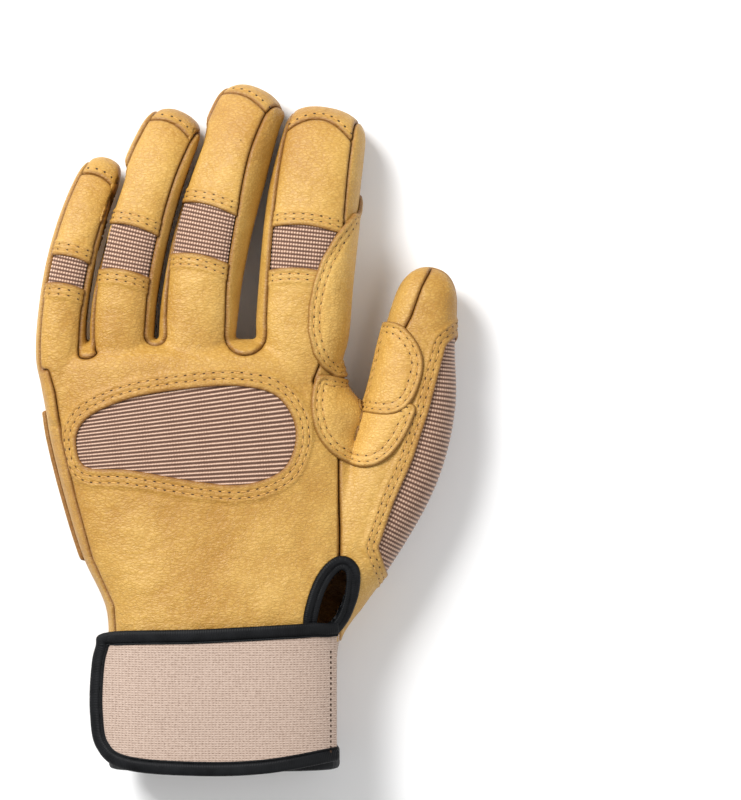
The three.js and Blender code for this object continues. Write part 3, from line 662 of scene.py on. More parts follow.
def tip_zone(name):
    """The fingertip cap: past the arc on the back, past the first seam on the front, and round the tip."""
    finger = FINGERS[name]
    back = np.maximum(strip(name, 1), -past(name, finger["arc"], finger["arc_bulge"]))
    front = np.maximum(strip(name, -1), -past(name, finger["cap"]))
    place, aside, _ = PLACES[name].T
    end = np.maximum.reduce([-past(name, tip_share), np.abs(aside) - tip_lap * finger["width"] / 2,
                             place - finger["length"] - tip_reach, GROUNDS[name] - 1])
    return softly(np.minimum.reduce([back, front, end]), 4)


TIPS = {name: tip_zone(name) for name in NAMES}


def row_frame():
    """The step from the hand's own millimetres to the frame, found on the cuff's binding and the pull tab."""
    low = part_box("cuff_binding")[0]
    left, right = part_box("pull_tab")
    middle = limbs["hand"].centre[0][0]
    return np.array([(left.x + right.x) * 500 - middle, low.y * 1000 - hem_y, 0])


to_frame = row_frame()


# How the leather is worked at its edges: turned under at a seam, folded into a hem that is sewn down with
# two rows of stitches, or laid on as a second layer. Each kind of edge has its clearance to its neighbour,
# the lines that carry its shape, its rise at a distance from the edge and its rows of stitches.
leather_rows = (2.2, 4.1)
window_rows = (2.6, 4.8)
patch_rows = (2.0, 4.1)
seam_roll = 1.3
groove_depth = 0.35
groove_width = 0.5
# How much painted shade each stitch groove adds.
groove_shade = 0.35
crease_width = 0.9
border_reach = 3
second_layer = 1.3


def grooves(distance, rows):
    """How deep the stitches pull the leather in, from 0 to 1, at a distance from the edge."""
    return sum(np.exp(-((distance - row) / groove_width) ** 2) for row in rows)


def rolled(distance, radius):
    """An edge that rolls down to the seam."""
    left = np.clip(1 - distance / radius, 0, 1)
    return -radius * (1 - np.sqrt(1 - left ** 2))


def turned(distance):
    """A seam whose leather is turned under."""
    return rolled(distance, seam_roll)


def hemmed(distance):
    """A folded hem with two rows of stitches."""
    fold = rolled(distance, 0.5) + 0.55 * ramp(distance, 6.3, 4.8)
    return fold - groove_depth * grooves(distance, leather_rows)


def framed(distance):
    """The broad frame of the knuckle window."""
    fold = rolled(distance, 0.6) + 0.6 * ramp(distance, 7.2, 5.4)
    return fold - groove_depth * grooves(distance, window_rows)


def laid(distance):
    """A second layer that lies on the first one."""
    return (second_layer + 0.35 * np.exp(-((distance - 1.0) / 0.8) ** 2) + rolled(distance, 0.8)
            - groove_depth * grooves(distance, patch_rows))


def plain(distance):
    """An edge that lies under its neighbour."""
    return 0 * distance


KINDS = {
    "turned": (0.06, (0.25, 0.7, 1.3), turned, ()),
    "hemmed": (0.15, (0.3, 1.2, *leather_rows, 5.0), hemmed, leather_rows),
    "framed": (0.1, (0.3, 1.4, *window_rows, 6.0), framed, window_rows),
    "laid": (0.0, (0.3, 0.9, *patch_rows), laid, patch_rows),
    "plain": (0.1, (), plain, ()),
}


def stretch(borders, lift=0.0, base=None):
    """The part of the form inside all its borders. Each border is a field and the kind of edge it makes."""
    base = base or form
    names = [f"border{i}" for i in range(len(borders))]
    fields = {name: np.array(field) for name, (field, _) in zip(names, borders)}
    skin = Skin(base.faces, **base.values, **fields)
    near = np.all([skin[name][skin.faces].min(1) < border_reach for name in names], axis=0)
    skin = skin.only(near)
    for name, (_, kind) in zip(names, borders):
        clearance, lines, _, _ = KINDS[kind]
        slope = skin.smooth(np.clip(skin.slope(skin[name]), 0.3, 3), 2)
        skin.values[name] = skin[name] / slope + clearance
        skin.cut(name, 0)
        skin = skin.only(skin[name][skin.faces].mean(1) < 0)
        for line in lines:
            skin.cut(name, -line)
    rise, crease = lift + 0 * skin["border0"], 0 * skin["border0"]
    for name, (_, kind) in zip(names, borders):
        _, _, shape, rows = KINDS[kind]
        rise = rise + shape(-skin[name])
        # Painted shade: each worked edge darkens the leather in its crease and in its stitch grooves.
        if kind != "plain":
            dark = np.exp(-(skin[name] / crease_width) ** 2) + groove_shade * grooves(-skin[name], rows)
            crease = np.maximum(crease, dark)
    skin.values["shown"] = skin["rest"] + skin["normal"] * rise[:, None]
    skin.values["crease"] = np.minimum(crease, 1)
    return skin


shells = []
seams_to_sew = []
rim_turns = (30, 60, 90)
# The share of faces that is kept on the wall inside the glove, which is hardly seen.
kept_share = 0.65


def sew_along(skin, border, levels):
    """Keeps the lines at some distances from a border to be sewn later."""
    normal = skin.normals(skin["shown"])
    for level in levels:
        for line in skin.rows(f"border{border}", -level):
            seams_to_sew.append((skin["shown"][line], normal[line]))


def solid(name, skin, thickness, rim=0.3, tones=("crease",)):
    """Gives a stretch of skin its thickness, with a rounded rim, and makes it an object."""
    shown = skin["shown"]
    count = len(shown)
    normal = skin.normals(shown)
    start, end = skin.edges()
    open_edge = ~np.isin(start * count + end, end * count + start)
    start, end = start[open_edge], end[open_edge]
    outward = np.zeros((count, 3))
    side = unit(np.cross(shown[end] - shown[start], normal[start] + normal[end]))
    np.add.at(outward, start, side)
    np.add.at(outward, end, side)
    border = np.unique(start)
    out, up, foot = unit(outward[border]), normal[border], shown[border]
    turns = np.radians(rim_turns)
    rows = [foot + out * rim * math.sin(turn) - up * rim * (1 - math.cos(turn)) for turn in turns]
    rows.append(foot + out * rim - up * max(thickness - rim, rim))
    points = np.concatenate([shown, shown - normal * thickness] + rows)
    place = np.zeros(count, int)
    place[border] = np.arange(len(border))
    levels = [np.arange(count)] + [2 * count + i * len(border) + place for i in range(len(rows))]
    levels.append(count + np.arange(count))
    faces = skin.faces.tolist() + (skin.faces[:, ::-1] + count).tolist()
    for upper, lower in zip(levels, levels[1:]):
        faces += np.stack([upper[end], upper[start], lower[start], lower[end]], axis=1).tolist()
    mesh = bpy.data.meshes.new(name)
    mesh.from_pydata(((points + to_frame) * 0.001).tolist(), [], faces)
    mesh.polygons.foreach_set("use_smooth", np.ones(len(faces), bool))
    for tone in tones:
        values = skin[tone]
        # The inner wall gets the value 1: for the crease tone this paints the inside of the glove in full shade. The
        # rim copies its edge.
        values = np.concatenate([values, 0 * values + 1] + [values[border]] * len(rows))
        mesh.attributes.new(tone, "FLOAT", "POINT").data.foreach_set("value", values)
    piece = bpy.data.objects.new(name, mesh)
    bpy.context.scene.collection.objects.link(piece)
    inner = piece.vertex_groups.new(name="inner")
    inner.add(range(count, 2 * count), 1.0, "REPLACE")
    thin = piece.modifiers.new("thin", "DECIMATE")
    thin.ratio = kept_share
    thin.vertex_group = inner.name
    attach(piece, "root")
    return piece


def thin_inner_walls():
    graph = bpy.context.evaluated_depsgraph_get()
    for piece in [o for o in bpy.data.objects if "thin" in o.modifiers]:
        mesh = bpy.data.meshes.new_from_object(piece.evaluated_get(graph), preserve_all_data_layers=True,
                                               depsgraph=graph)
        piece.modifiers.clear()
        piece.vertex_groups.clear()
        piece.data = mesh


def dress(name, skin, thickness, material, rim=0.3, tones=("crease",)):
    """Makes a piece that stands for the CAD solid of the same name."""
    piece = solid(name + "_dressed", skin, thickness, rim, tones)
    piece.data.materials.append(material)
    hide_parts(name)
    shells.append(skin)
    return piece


class Wire:
    """A socket of a shader, with arithmetic."""

    def __init__(self, tree, socket):
        self.tree, self.socket = tree, socket

    def node(self, kind, settings=None, output=0, **inputs):
        """Adds a node: its settings first, then the values or links of its sockets, by name or by _number."""
        node = self.tree.nodes.new(kind)
        for key, value in (settings or {}).items():
            if key == "stops":
                stops = node.color_ramp.elements
                while len(stops) < len(value):
                    stops.new(0.5)
                for stop, (place, color) in zip(stops, value):
                    stop.position, stop.color = place, (*color, 1)
            else:
                setattr(node, key, value)
        for key, value in inputs.items():
            socket = node.inputs[int(key[1:]) if key[0] == "_" else key.replace("_", " ")]
            if isinstance(value, Wire):
                self.tree.links.new(value.socket, socket)
            else:
                socket.default_value = value
        return Wire(self.tree, node.outputs[output])

    def math(self, operation, *others):
        inputs = {f"_{i}": value for i, value in enumerate((self,) + others)}
        return self.node("ShaderNodeMath", {"operation": operation}, **inputs)

    def mix(self, other, share):
        """Between this colour and another one."""
        return self.node("ShaderNodeMix", {"data_type": "RGBA"}, 2, _0=share, _6=self, _7=other)

    def __add__(self, other):
        return self.math("ADD", other)

    def __sub__(self, other):
        return self.math("SUBTRACT", other)

    def __rsub__(self, other):
        return self.node("ShaderNodeMath", {"operation": "SUBTRACT"}, _0=other, _1=self)

    def __mul__(self, other):
        return self.math("MULTIPLY", other)

    __radd__ = __add__
    __rmul__ = __mul__


def finish(name, build, **constants):
    """A material whose varying sockets a function sets up, with the constant ones given by name."""
    material = bpy.data.materials.new(name)
    material.use_nodes = True
    tree = material.node_tree
    surface = tree.nodes["Principled BSDF"]
    for key, value in constants.items():
        surface.inputs[key.replace("_", " ")].default_value = value
    wire = Wire(tree, surface.outputs[0])
    place = wire.node("ShaderNodeTexCoord", output=3)
    for key, value in build(wire, place).items():
        tree.links.new(value.socket, surface.inputs[key.replace("_", " ")])
    return material


def attribute(wire, name):
    return wire.node("ShaderNodeAttribute", {"attribute_name": name}, 2)


def leather_finish(light, middle, deep):
    """Soft grained leather: uneven in colour, darker in its grain, and with painted shade in its creases, stitch
    grooves and inner wall.
    """

    def build(wire, place):
        large = wire.node("ShaderNodeTexNoise", Vector=place, Scale=20.0, Detail=3.0)
        cloudy = wire.node("ShaderNodeTexNoise", Vector=place, Scale=120.0, Detail=4.0)
        warp = wire.node("ShaderNodeTexNoise", output=1, Vector=place, Scale=420.0, Detail=2.0)
        bent = wire.node("ShaderNodeVectorMath", {"operation": "MULTIPLY_ADD"},
                         _0=warp, _1=(0.0016,) * 3, _2=place)
        stretched = wire.node("ShaderNodeMapping", Vector=bent, Scale=(0.4, 1.1, 1.0), Rotation=(0, 0, 0.12))
        ripple = wire.node("ShaderNodeTexNoise", Vector=stretched, Scale=640.0, Detail=4.0, Roughness=0.6)
        edges = {"feature": "DISTANCE_TO_EDGE"}
        cells = wire.node("ShaderNodeTexVoronoi", edges, Vector=stretched, Scale=1050.0)
        grain = (cells * 4).math("MINIMUM", 1.0)
        fine_cells = wire.node("ShaderNodeTexVoronoi", edges, Vector=bent, Scale=1900.0)
        crease = attribute(wire, "crease")
        tone = large * 0.6 + cloudy * 0.2 + grain * 0.1
        stops = [(0.36, deep), (0.5, middle), (0.64, light)]
        color = wire.node("ShaderNodeValToRGB", {"stops": stops}, _0=tone)
        # Painted shade: the crease tone darkens creases, stitch grooves and the inner wall; the grain and ripple
        # lines darken too.
        color = color.mix(grain_and_shade_tan, crease * 0.72 + (1 - grain) * 0.05 + (1 - ripple) * 0.12)
        height = grain * 0.35 + fine_cells * 0.5 + ripple * 1.6
        fine = wire.node("ShaderNodeBump", Strength=0.7, Distance=0.0003, Height=height)
        soft = wire.node("ShaderNodeBump", Strength=0.5, Distance=0.002, Height=cloudy, Normal=fine)
        return {"Base_Color": color, "Roughness": cloudy * 0.16 + 0.4, "Normal": soft}

    return build


# A deep brown that darkens the grain lines and paints the shade in creases, stitch grooves and the inner wall.
grain_and_shade_tan = (0.17, 0.06, 0.008, 1)
tan_leather = finish("tan_leather",
                     leather_finish((0.6, 0.37, 0.095), (0.5, 0.285, 0.058), (0.39, 0.195, 0.028)),
                     Specular_IOR_Level=0.45)
patch_leather = finish("patch_leather",
                       leather_finish((0.72, 0.47, 0.14), (0.62, 0.37, 0.088), (0.48, 0.255, 0.045)),
                       Specular_IOR_Level=0.45)


def rib_finish(wire, place):
    """A brown ground with raised cream yarn."""
    yarn = attribute(wire, "yarn")
    fuzz = wire.node("ShaderNodeTexNoise", Vector=place, Scale=2600.0, Detail=2.0)
    level = yarn + fuzz * 0.5 - 0.25
    stops = [(0.15, (0.075, 0.032, 0.018)), (0.5, (0.3, 0.165, 0.105)), (0.85, (0.68, 0.48, 0.36))]
    color = wire.node("ShaderNodeValToRGB", {"stops": stops}, _0=level)
    bump = wire.node("ShaderNodeBump", Strength=0.5, Distance=0.0002, Height=fuzz)
    return {"Base_Color": color, "Normal": bump}


ribbed_fabric = finish("ribbed_fabric", rib_finish, Roughness=0.85, Sheen_Weight=0.25)

rib_pitch = 1.4
yarn_pitch = 1.05
fabric = 1.0
fabric_rim = 0.2
recess = 0.55
panel_recess = 0.35
rib_step = 0.28


def grid_faces(rows, columns):
    index = np.arange(rows * columns).reshape(rows, columns)
    a, b, c, d = index[:-1, :-1], index[:-1, 1:], index[1:, 1:], index[1:, :-1]
    return np.concatenate([np.stack(corners, axis=-1).reshape(-1, 3) for corners in ([a, b, c], [a, c, d])])


def facing_out(skin):
    """Turns the faces over if they look into the form."""
    if (skin.normals(skin["rest"]) * skin["normal"]).sum() < 0:
        skin.faces = skin.faces[:, ::-1]
    return skin


def laid_on_form(origins, ways, **values):
    """A fine grid laid on the form along rays, and a way to read the form's fields on it."""
    rows, columns = origins.shape[:2]
    hits = [form_tree.ray_cast(Vector(origin), Vector(way))
            for origin, way in zip(origins.reshape(-1, 3).tolist(), ways.reshape(-1, 3).tolist())]
    missed = np.array([hit[0] is None for hit in hits])
    rest = np.array([tuple(hit[0] or (0, 0, 0)) for hit in hits])
    corners = form_faces[np.array([hit[2] or 0 for hit in hits])]
    corner = form_points[corners]
    total = np.cross(corner[:, 1] - corner[:, 0], corner[:, 2] - corner[:, 0])
    shares = [(np.cross(corner[:, (k + 1) % 3] - rest, corner[:, (k + 2) % 3] - rest) * total).sum(1)
              / (total ** 2).sum(1) for k in range(3)]
    shares = np.stack(shares, axis=1)

    normal = unit((form["normal"][corners] * shares[:, :, None]).sum(1))
    flat = {key: value.reshape(-1) for key, value in values.items()}
    skin = Skin(grid_faces(rows, columns), rest=rest, normal=normal, number=np.arange(len(rest)), **flat)
    skin = facing_out(skin.only(~missed[skin.faces].any(1)))
    kept = skin.values.pop("number")
    corners, shares = corners[kept], shares[kept]

    def read(field):
        return (field[corners] * shares).sum(1)

    return skin, read


def wave(place, pitch):
    """From 0 to 1 and back over each pitch."""
    return 0.5 + 0.5 * np.cos(2 * math.pi * place / pitch)


def dress_ribbed(name, skin, depth=0.4, dotted=0.75, sharp=0.75):
    """A piece of stretch fabric: its ribs and the dots of yarn on them stand out of the ground."""
    rib, dot = wave(skin["rib"], rib_pitch), wave(skin["along"], yarn_pitch)
    skin.values["yarn"] = rib ** sharp * (1 - dotted + dotted * dot ** 0.6)
    skin.values["shown"] = skin["shown"] + skin["normal"] * (depth * (skin["yarn"] - 1))[:, None]
    dress(name, skin, fabric, ribbed_fabric, fabric_rim, ("yarn",))


def dress_leather(name, skin):
    dress(name, skin, leather, tan_leather)


# The back of the hand and the palm: one panel of goatskin each, cut with a tongue for every finger. Their
# edges are turned under and sewn to the side walls. The back has a window with a broad frame and two rows
# of stitches.
far_outside = 50
seam_reach = 3
insert_bow = 0.06
not_thumb = -thumb_zone
not_window = -window
not_vent = vent_band - vent


def beyond_seam(name, side, share, bulge):
    """A finger's ground past a line across it. The neighbours' ground lies far outside."""
    field = np.maximum(strip(name, side) - seam_reach, -past(name, share, bulge))
    return np.where(GROUNDS[name] > 0, far_outside, field)


past_inserts = np.minimum.reduce([beyond_seam(n, 1, FINGERS[n]["insert"][0], insert_bow) for n in NAMES])
back = stretch([(back_zone, "turned"), (not_thumb, "turned"), (not_window, "framed"), (not_vent, "plain"),
                (-past_inserts, "hemmed"), (hem, "plain")])
sew_along(back, 2, window_rows)
sew_along(back, 4, leather_rows)
dress_leather("back_of_hand", back)
past_pads = np.minimum.reduce([beyond_seam(n, -1, FINGERS[n]["pad"], 0) for n in NAMES])
palm = stretch([(palm_zone, "turned"), (not_thumb, "turned"), (-past_pads, "hemmed"), (hem, "plain")])
sew_along(palm, 2, leather_rows)
dress_leather("palm_panel", palm)

# The knuckle panel: taupe stretch fabric with raised ribs that run across the hand and fan out towards the
# index finger. It is sewn in under the frame of the window.
ribs_slope = math.radians(5.5)
ribs_fan = 0.0032
fan_middle = -8
u, v = np.meshgrid(np.arange(-50, 36, 0.5), np.arange(-19, 22, rib_step))
x = u * math.cos(ribs_slope) - v * math.sin(ribs_slope)
y = v * (1 + (u - fan_middle) * ribs_fan) + u * math.sin(ribs_slope)
origins = np.stack([x, y, 0 * x + 100], axis=-1)
grid, read = laid_on_form(origins, 0 * origins + (0, 0, -1), rib=v, along=u)
panel = stretch([(read(window) - 1.5, "plain")], lift=-panel_recess, base=grid)
dress_ribbed("knuckle_panel", panel, dotted=0.25, sharp=1.7)

# The fingers: on the back a ribbed insert between two hems, with leather above it, and on the front a
# leather pad. A cap of leather comes over each tip from the palm side and ends in an arc on the back.
for name in NAMES:
    finger, limb = FINGERS[name], limbs[name]
    low, high = finger["insert"]
    above_low, above_high = past(name, low, insert_bow), past(name, high, insert_bow)
    on_finger = strip(name, 1) - seam_reach
    before_arc = past(name, finger["arc"], finger["arc_bulge"])
    back_piece = stretch([(back_zone, "turned"), (on_finger, "plain"), (-above_high, "hemmed"),
                          (before_arc, "turned")])
    sew_along(back_piece, 2, leather_rows)
    dress_leather("finger_back_" + name, back_piece)
    across_mm = np.arange(-1.05, 1.06, 0.58 / finger["width"]) * finger["width"] / 2
    along_mm = np.arange(low * finger["length"] - 3, high * finger["length"] + 5, rib_step)
    u, v = np.meshgrid(across_mm, along_mm)
    v = v + insert_bow * finger["width"] * (1 - (2 * u / finger["width"]) ** 2)
    centre, side, up = (limb.at(key, v) for key in ("centre", "across", "up"))
    grid, read = laid_on_form(centre + side * u[..., None] + up * 60, -up, rib=v, along=u)
    insert = stretch([(read(back_zone), "turned"), (read(on_finger), "plain"), (read(-above_low) - 1, "plain"),
                      (read(above_high) - 1, "plain")], lift=-panel_recess, base=grid)
    dress_ribbed("finger_insert_" + name, insert)
    pad = stretch([(palm_zone, "turned"), (strip(name, -1) - seam_reach, "plain"),
                   (-past(name, finger["pad"]), "hemmed"), (past(name, finger["cap"]), "turned")])
    dress_leather("finger_pad_" + name, pad)
    dress_leather("fingertip_cap_" + name, stretch([(TIPS[name], "turned")]))

# The side walls: strips of the same leather, turned under along both long seams. Three stand between the
# fingers, and one on each outer side of the hand runs on down to the cuff.
all_tips = np.minimum.reduce(list(TIPS.values()))


def middle_line(name):
    finger = FINGERS[name]
    points = finger_line(finger, np.array((-0.25, 0, 0.3, 0.6, 0.8, 1)) * finger["length"])[:, :2]
    turn = math.radians(finger["heading"])
    return np.concatenate([points, [points[-1] + 120 * np.array((math.sin(turn), math.cos(turn)))]])


middles = {name: middle_line(name) for name in NAMES}


def between(left, right):
    """The ground in the plan between the middle lines of two fingers, or beside the first or last one."""
    wide = 400
    foot = np.array([(0, -wide), (0, 0)])
    up = (np.concatenate([foot, middles[left]]) if left and not right else middles[left] if left
          else np.array([(-wide, -wide), (-wide, wide)]))
    down = (np.concatenate([middles[right][::-1], foot[::-1]]) if right and not left
            else middles[right][::-1] if right else np.array([(wide, wide), (wide, -wide)]))
    return inside_outline(X, Y, np.concatenate([up, down]))


bulge_between = 0.5
SIDES = ["side_strip_little", "fourchette_little_ring", "fourchette_ring_middle", "fourchette_middle_index",
         "side_strip_index"]
for i, node in enumerate(SIDES):
    left, right = NAMES[i - 1] if i else None, NAMES[i] if i < len(NAMES) else None
    wall = stretch([(-back_zone, "turned"), (-palm_zone, "turned"), (-all_tips, "turned"),
                    (-thumb_zone, "turned"), (between(left, right), "plain"), (hem, "plain")],
                   lift=bulge_between if left and right else 0.0)
    dress_leather(node, wall)

# The thumb: a back and a front of leather that wrap it and its root down to the cuff. They leave a long
# window along its outer side, with a sewn hem, where a panel of the ribbed stretch fabric is let in.
for name, zone in (("thumb_back", thumb_back_zone), ("thumb_front", -thumb_back_zone)):
    wall = stretch([(thumb_zone, "turned"), (zone, "turned"), (-panel_zone, "hemmed"), (not_vent, "plain"),
                    (hem, "plain")])
    sew_along(wall, 2, leather_rows)
    dress_leather(name, wall)
thumb = limbs["thumb"]
along, turn = np.meshgrid(np.arange(15, 118, rib_step), np.radians(np.arange(-75, 80, 2.0)))
centre, side = thumb.at("centre", along), thumb.at("across", along)
way = side * np.cos(turn)[..., None] + np.array([0, 0, 1.0]) * np.sin(turn)[..., None]
girth = turn * thumb.at("half", along).mean()
grid, read = laid_on_form(centre + way * 60, -way, rib=along, along=girth)
panel = stretch([(read(panel_zone) - 1, "plain"), (read(thumb_zone), "plain")], lift=-panel_recess, base=grid)
dress_ribbed("thumb_panel", panel, depth=0.35)

# The second layer: patches of the same leather, a little lighter, on the palm, the index finger's thumb
# side, the crotch of the thumb and its inner side. Each lies on the first layer, sewn down along its edge
# with two rows.
PALM_PATCH = on_palm((-0.53, 0.1), (-0.47, -0.36), (-0.36, -0.432), (-0.165, -0.385), (0.03, -0.318),
                     (0.115, -0.262), (0.165, -0.18), (0.19, -0.1), (0.25, 0.05), (0.31, 0.12), (0.28, 0.2))
INDEX_PATCH_BACK = on_palm((0.49, 0.77), (0.43, 0.69), (0.385, 0.61), (0.358, 0.53), (0.343, 0.45), (0.34, 0.37),
                           (0.358, 0.29), (0.385, 0.245), (0.43, 0.21), (0.49, 0.21), (0.8, 0.21), (0.8, 0.77))
INDEX_PATCH_FRONT = on_palm((0.4, 0.84), (0.33, 0.77), (0.28, 0.67), (0.262, 0.56), (0.265, 0.4), (0.3, 0.3),
                            (0.37, 0.23), (0.49, 0.21), (0.8, 0.21), (0.8, 0.84))
CROTCH_PATCH = on_palm((0.37, 0.215), (0.35, 0.12), (0.372, 0.015), (0.43, -0.055), (0.512, -0.092),
                       (0.585, -0.075), (0.64, -0.02), (0.682, 0.06), (0.69, 0.12), (0.6, 0.13), (0.52, 0.14),
                       (0.49, 0.19), (0.43, 0.215))
THUMB_PATCH = on_thumb((0.5, 0.552), (0.54, 0.534), (0.61, 0.53), (0.665, 0.552), (0.7, 0.6), (0.72, 0.673),
                       (0.705, 0.734), (0.655, 0.791), (0.6, 0.804), (0.54, 0.786), (0.5, 0.673))
slit_left = inside_outline(X, Y, np.concatenate([THUMB_SLIT, on_palm((-1.2, 1.2), (-1.2, 0.126))]))
index_side = softly(around(INDEX_PATCH_BACK, INDEX_PATCH_FRONT))
inner_thumb = on_back(rounded(THUMB_PATCH))
crotch = softly(inside_outline(X, Y, rounded(CROTCH_PATCH)), 4)
patch_thickness = second_layer - 0.15
patches = {
    "palm_patch": [(softly(on_front(PALM_PATCH)), "laid")],
    "index_side_patch": [(index_side, "laid"), (slit_left, "plain")],
    "thumb_crotch_patch": [(crotch, "laid"), (-inner_thumb, "plain")],
    "thumb_inner_patch": [(inner_thumb, "laid"), (-slit_left, "plain")],
}
for name, borders in patches.items():
    patch = stretch(borders)
    sew_along(patch, 0, patch_rows)
    dress(name, patch, patch_thickness, patch_leather)


def binding_finish(wire, place):
    """Black satin tape with fine ribs across it."""
    run = attribute(wire, "run")
    ribs = (run * (2 * math.pi / 0.6)).math("SINE")
    cloudy = wire.node("ShaderNodeTexNoise", Vector=place, Scale=160.0, Detail=4.0)
    stops = [(0.3, (0.003, 0.0032, 0.0038)), (0.7, (0.008, 0.0086, 0.0098))]
    color = wire.node("ShaderNodeValToRGB", {"stops": stops}, _0=cloudy)
    bump = wire.node("ShaderNodeBump", Strength=0.25, Distance=0.0002, Height=ribs)
    return {"Base_Color": color, "Roughness": cloudy * 0.2 + 0.4, "Normal": bump}


def knit_finish(wire, place):
    """Pale knitted elastic: fine rows along the cuff, each of small loops."""
    x = wire.node("ShaderNodeSeparateXYZ", _0=place)
    y = wire.node("ShaderNodeSeparateXYZ", output=1, _0=place)
    wander = wire.node("ShaderNodeTexNoise", Vector=place, Scale=420.0, Detail=2.0)
    row = (y * (2 * math.pi / 0.00085) + wander * 2.2).math("SINE")
    loops = (x * (2 * math.pi / 0.0012) + row * 1.6 + wander * 5).math("SINE")
    fuzz = wire.node("ShaderNodeTexNoise", Vector=place, Scale=1300.0, Detail=3.0)
    height = row * 0.22 + loops * 0.12 + fuzz * 0.9
    stops = [(0.0, (0.21, 0.135, 0.1)), (0.42, (0.42, 0.31, 0.245)), (0.9, (0.53, 0.41, 0.34))]
    color = wire.node("ShaderNodeValToRGB", {"stops": stops}, _0=height)
    bump = wire.node("ShaderNodeBump", Strength=0.6, Distance=0.0003, Height=height)
    return {"Base_Color": color, "Normal": bump}


black_binding = finish("black_binding", binding_finish, Specular_IOR_Level=0.12)
cuff_fabric = finish("cuff_fabric", knit_finish, Roughness=0.9, Sheen_Weight=0.2)

# The cuff: a tube of pale knitted elastic. Its top is sewn under the leather, its hem is folded into black
# tape, and on the palm side a round hole for a carabiner goes through it.
binding_top = hem_y + 8
tape_roll = 1.6
KINDS["bound"] = (0.0, (0.3, 0.8, tape_roll), lambda distance: rolled(distance, tape_roll), ())
hole_radius = 7.5
hole_lap = 0.3
tape_fold = 2.6
cuff_tuck = 2
binding_lap = 1
hole_middle = (limbs["hand"].centre[0][0], hem_y + 24)
through_hole = hole_radius - hole_lap - np.hypot(X - hole_middle[0], Y - hole_middle[1])
through_hole = np.where(Z < middle_z, through_hole, -far_outside)
cuff = stretch([(-hem - cuff_tuck, "plain"), (binding_top - Y - binding_lap, "plain"), (through_hole, "plain")],
               lift=-recess)
dress("cuff_band", cuff, fabric, cuff_fabric)
cuff_hem = stretch([(hem_y - Y, "bound"), (Y - binding_top, "bound")], lift=0.6)
cuff_hem.values["run"] = cuff_hem["rest"][:, 0] + cuff_hem["rest"][:, 2]
dress("cuff_binding", cuff_hem, tape_fold, black_binding, 0.6, ("run",))


def run_along(x, y, outline):
    """How far along an outline the nearest point of it lies."""
    nearest, run, passed = np.full(len(x), 1e9), np.zeros(len(x)), 0.0
    for ax, ay, bx, by, t, away in each_side(x, y, outline):
        length = math.hypot(bx - ax, by - ay)
        run = np.where(away < nearest, passed + t * length, run)
        nearest = np.minimum(nearest, away)
        passed += length
    return run


# The closure strap: a flap of the same knit across the back of the wrist, bound with black tape and sewn on
# at its right end. It is shown closed, and its face is bare.
STRAP = rounded(np.array([
    (-0.314, 0.078), (-0.357, -0.043), (-0.373, -0.26), (-0.375, -0.565), (-0.353, -0.826), (-0.264, -0.983),
    (-0.017, -1.026), (0.2, -1.01), (0.42, -0.93), (0.56, -0.88), (0.6, -0.4), (0.56, 0.1), (0.4, 0.15), (0.3, 0.145),
    (0.0, 0.109),
]) * (palm_width, cuff_length) + (0, wrist_y), 8)
strap_width = 5.4
cloth_step = 0.6
strap_low = 1.5
strap_thick = 1.8


def strap_grid():
    """The strap follows the back of the cuff, and runs on straight where the cuff turns down at its left."""
    hand, leave, end, outside = limbs["hand"], 0.8, 0.985, -1.3
    turns = np.concatenate([np.linspace(outside, -leave, 24)[:-1],
                            np.sin(np.linspace(-math.asin(leave), math.asin(end), 120))])
    x, y = np.meshgrid(turns, np.arange(hem_y - 7, wrist_y + 8, cloth_step))

    def curve(u):
        return (1 - np.abs(u) ** hand_square) ** (1 / hand_square)

    slope = (curve(-leave) - curve(-leave - 0.01)) / 0.01
    height = curve(np.maximum(x, -leave)) + np.minimum(x + leave, 0) * slope
    lift = strap_low + strap_thick
    middle = hand.at("centre", y)
    px = middle[..., 0] + x * (hand.at("half", y) + lift)
    pz = middle[..., 2] + height * (hand.at("rise", y) + lift)
    points = np.stack([px, y, pz], axis=-1).reshape(-1, 3)
    skin = Skin(grid_faces(*x.shape), rest=points)
    skin.values["normal"] = skin.normals(points)
    if skin["normal"][:, 2].sum() < 0:
        skin.faces = skin.faces[:, ::-1]
        skin.values["normal"] = -skin["normal"]
    return skin


strap_skin = strap_grid()
sx, sy = strap_skin["rest"][:, 0], strap_skin["rest"][:, 1]
strap_edge = inside_outline(sx, sy, STRAP)
strap_inner = strap_edge + strap_width
strap_right = sx - 0.436 * palm_width
strap_field = stretch([(strap_right, "plain"), (strap_inner - 0.5, "plain")], base=strap_skin)
strap_field.values["crease"] = 0 * strap_field["crease"]
dress("closure_strap", strap_field, strap_thick, cuff_fabric, 0.5)


def strap_roll(distance):
    """The binding's round back, with a thin cord along its inner edge."""
    across = (distance - 2.2) / 2.2
    cord = (distance - 4.8) / 0.4
    return np.maximum(1.1 * np.sqrt(np.maximum(1 - np.abs(across) ** 2.6, 0)),
                      0.6 * np.sqrt(np.maximum(1 - cord ** 2, 0))) - 0.1


KINDS["strap"] = (0.0, (0.12, 0.35, 0.8, 1.5, 2.4, 3.3, 3.9, 4.2, 4.4, 4.6, 4.8, 5.0, 5.2), strap_roll, ())
tape = stretch([(strap_edge, "strap"), (-strap_inner, "plain"), (strap_right, "plain")], base=strap_skin)
tape.values["run"] = run_along(tape["rest"][:, 0], tape["rest"][:, 1], STRAP)
dress("strap_binding", tape, strap_thick + 0.6, black_binding, 0.5, ("run",))


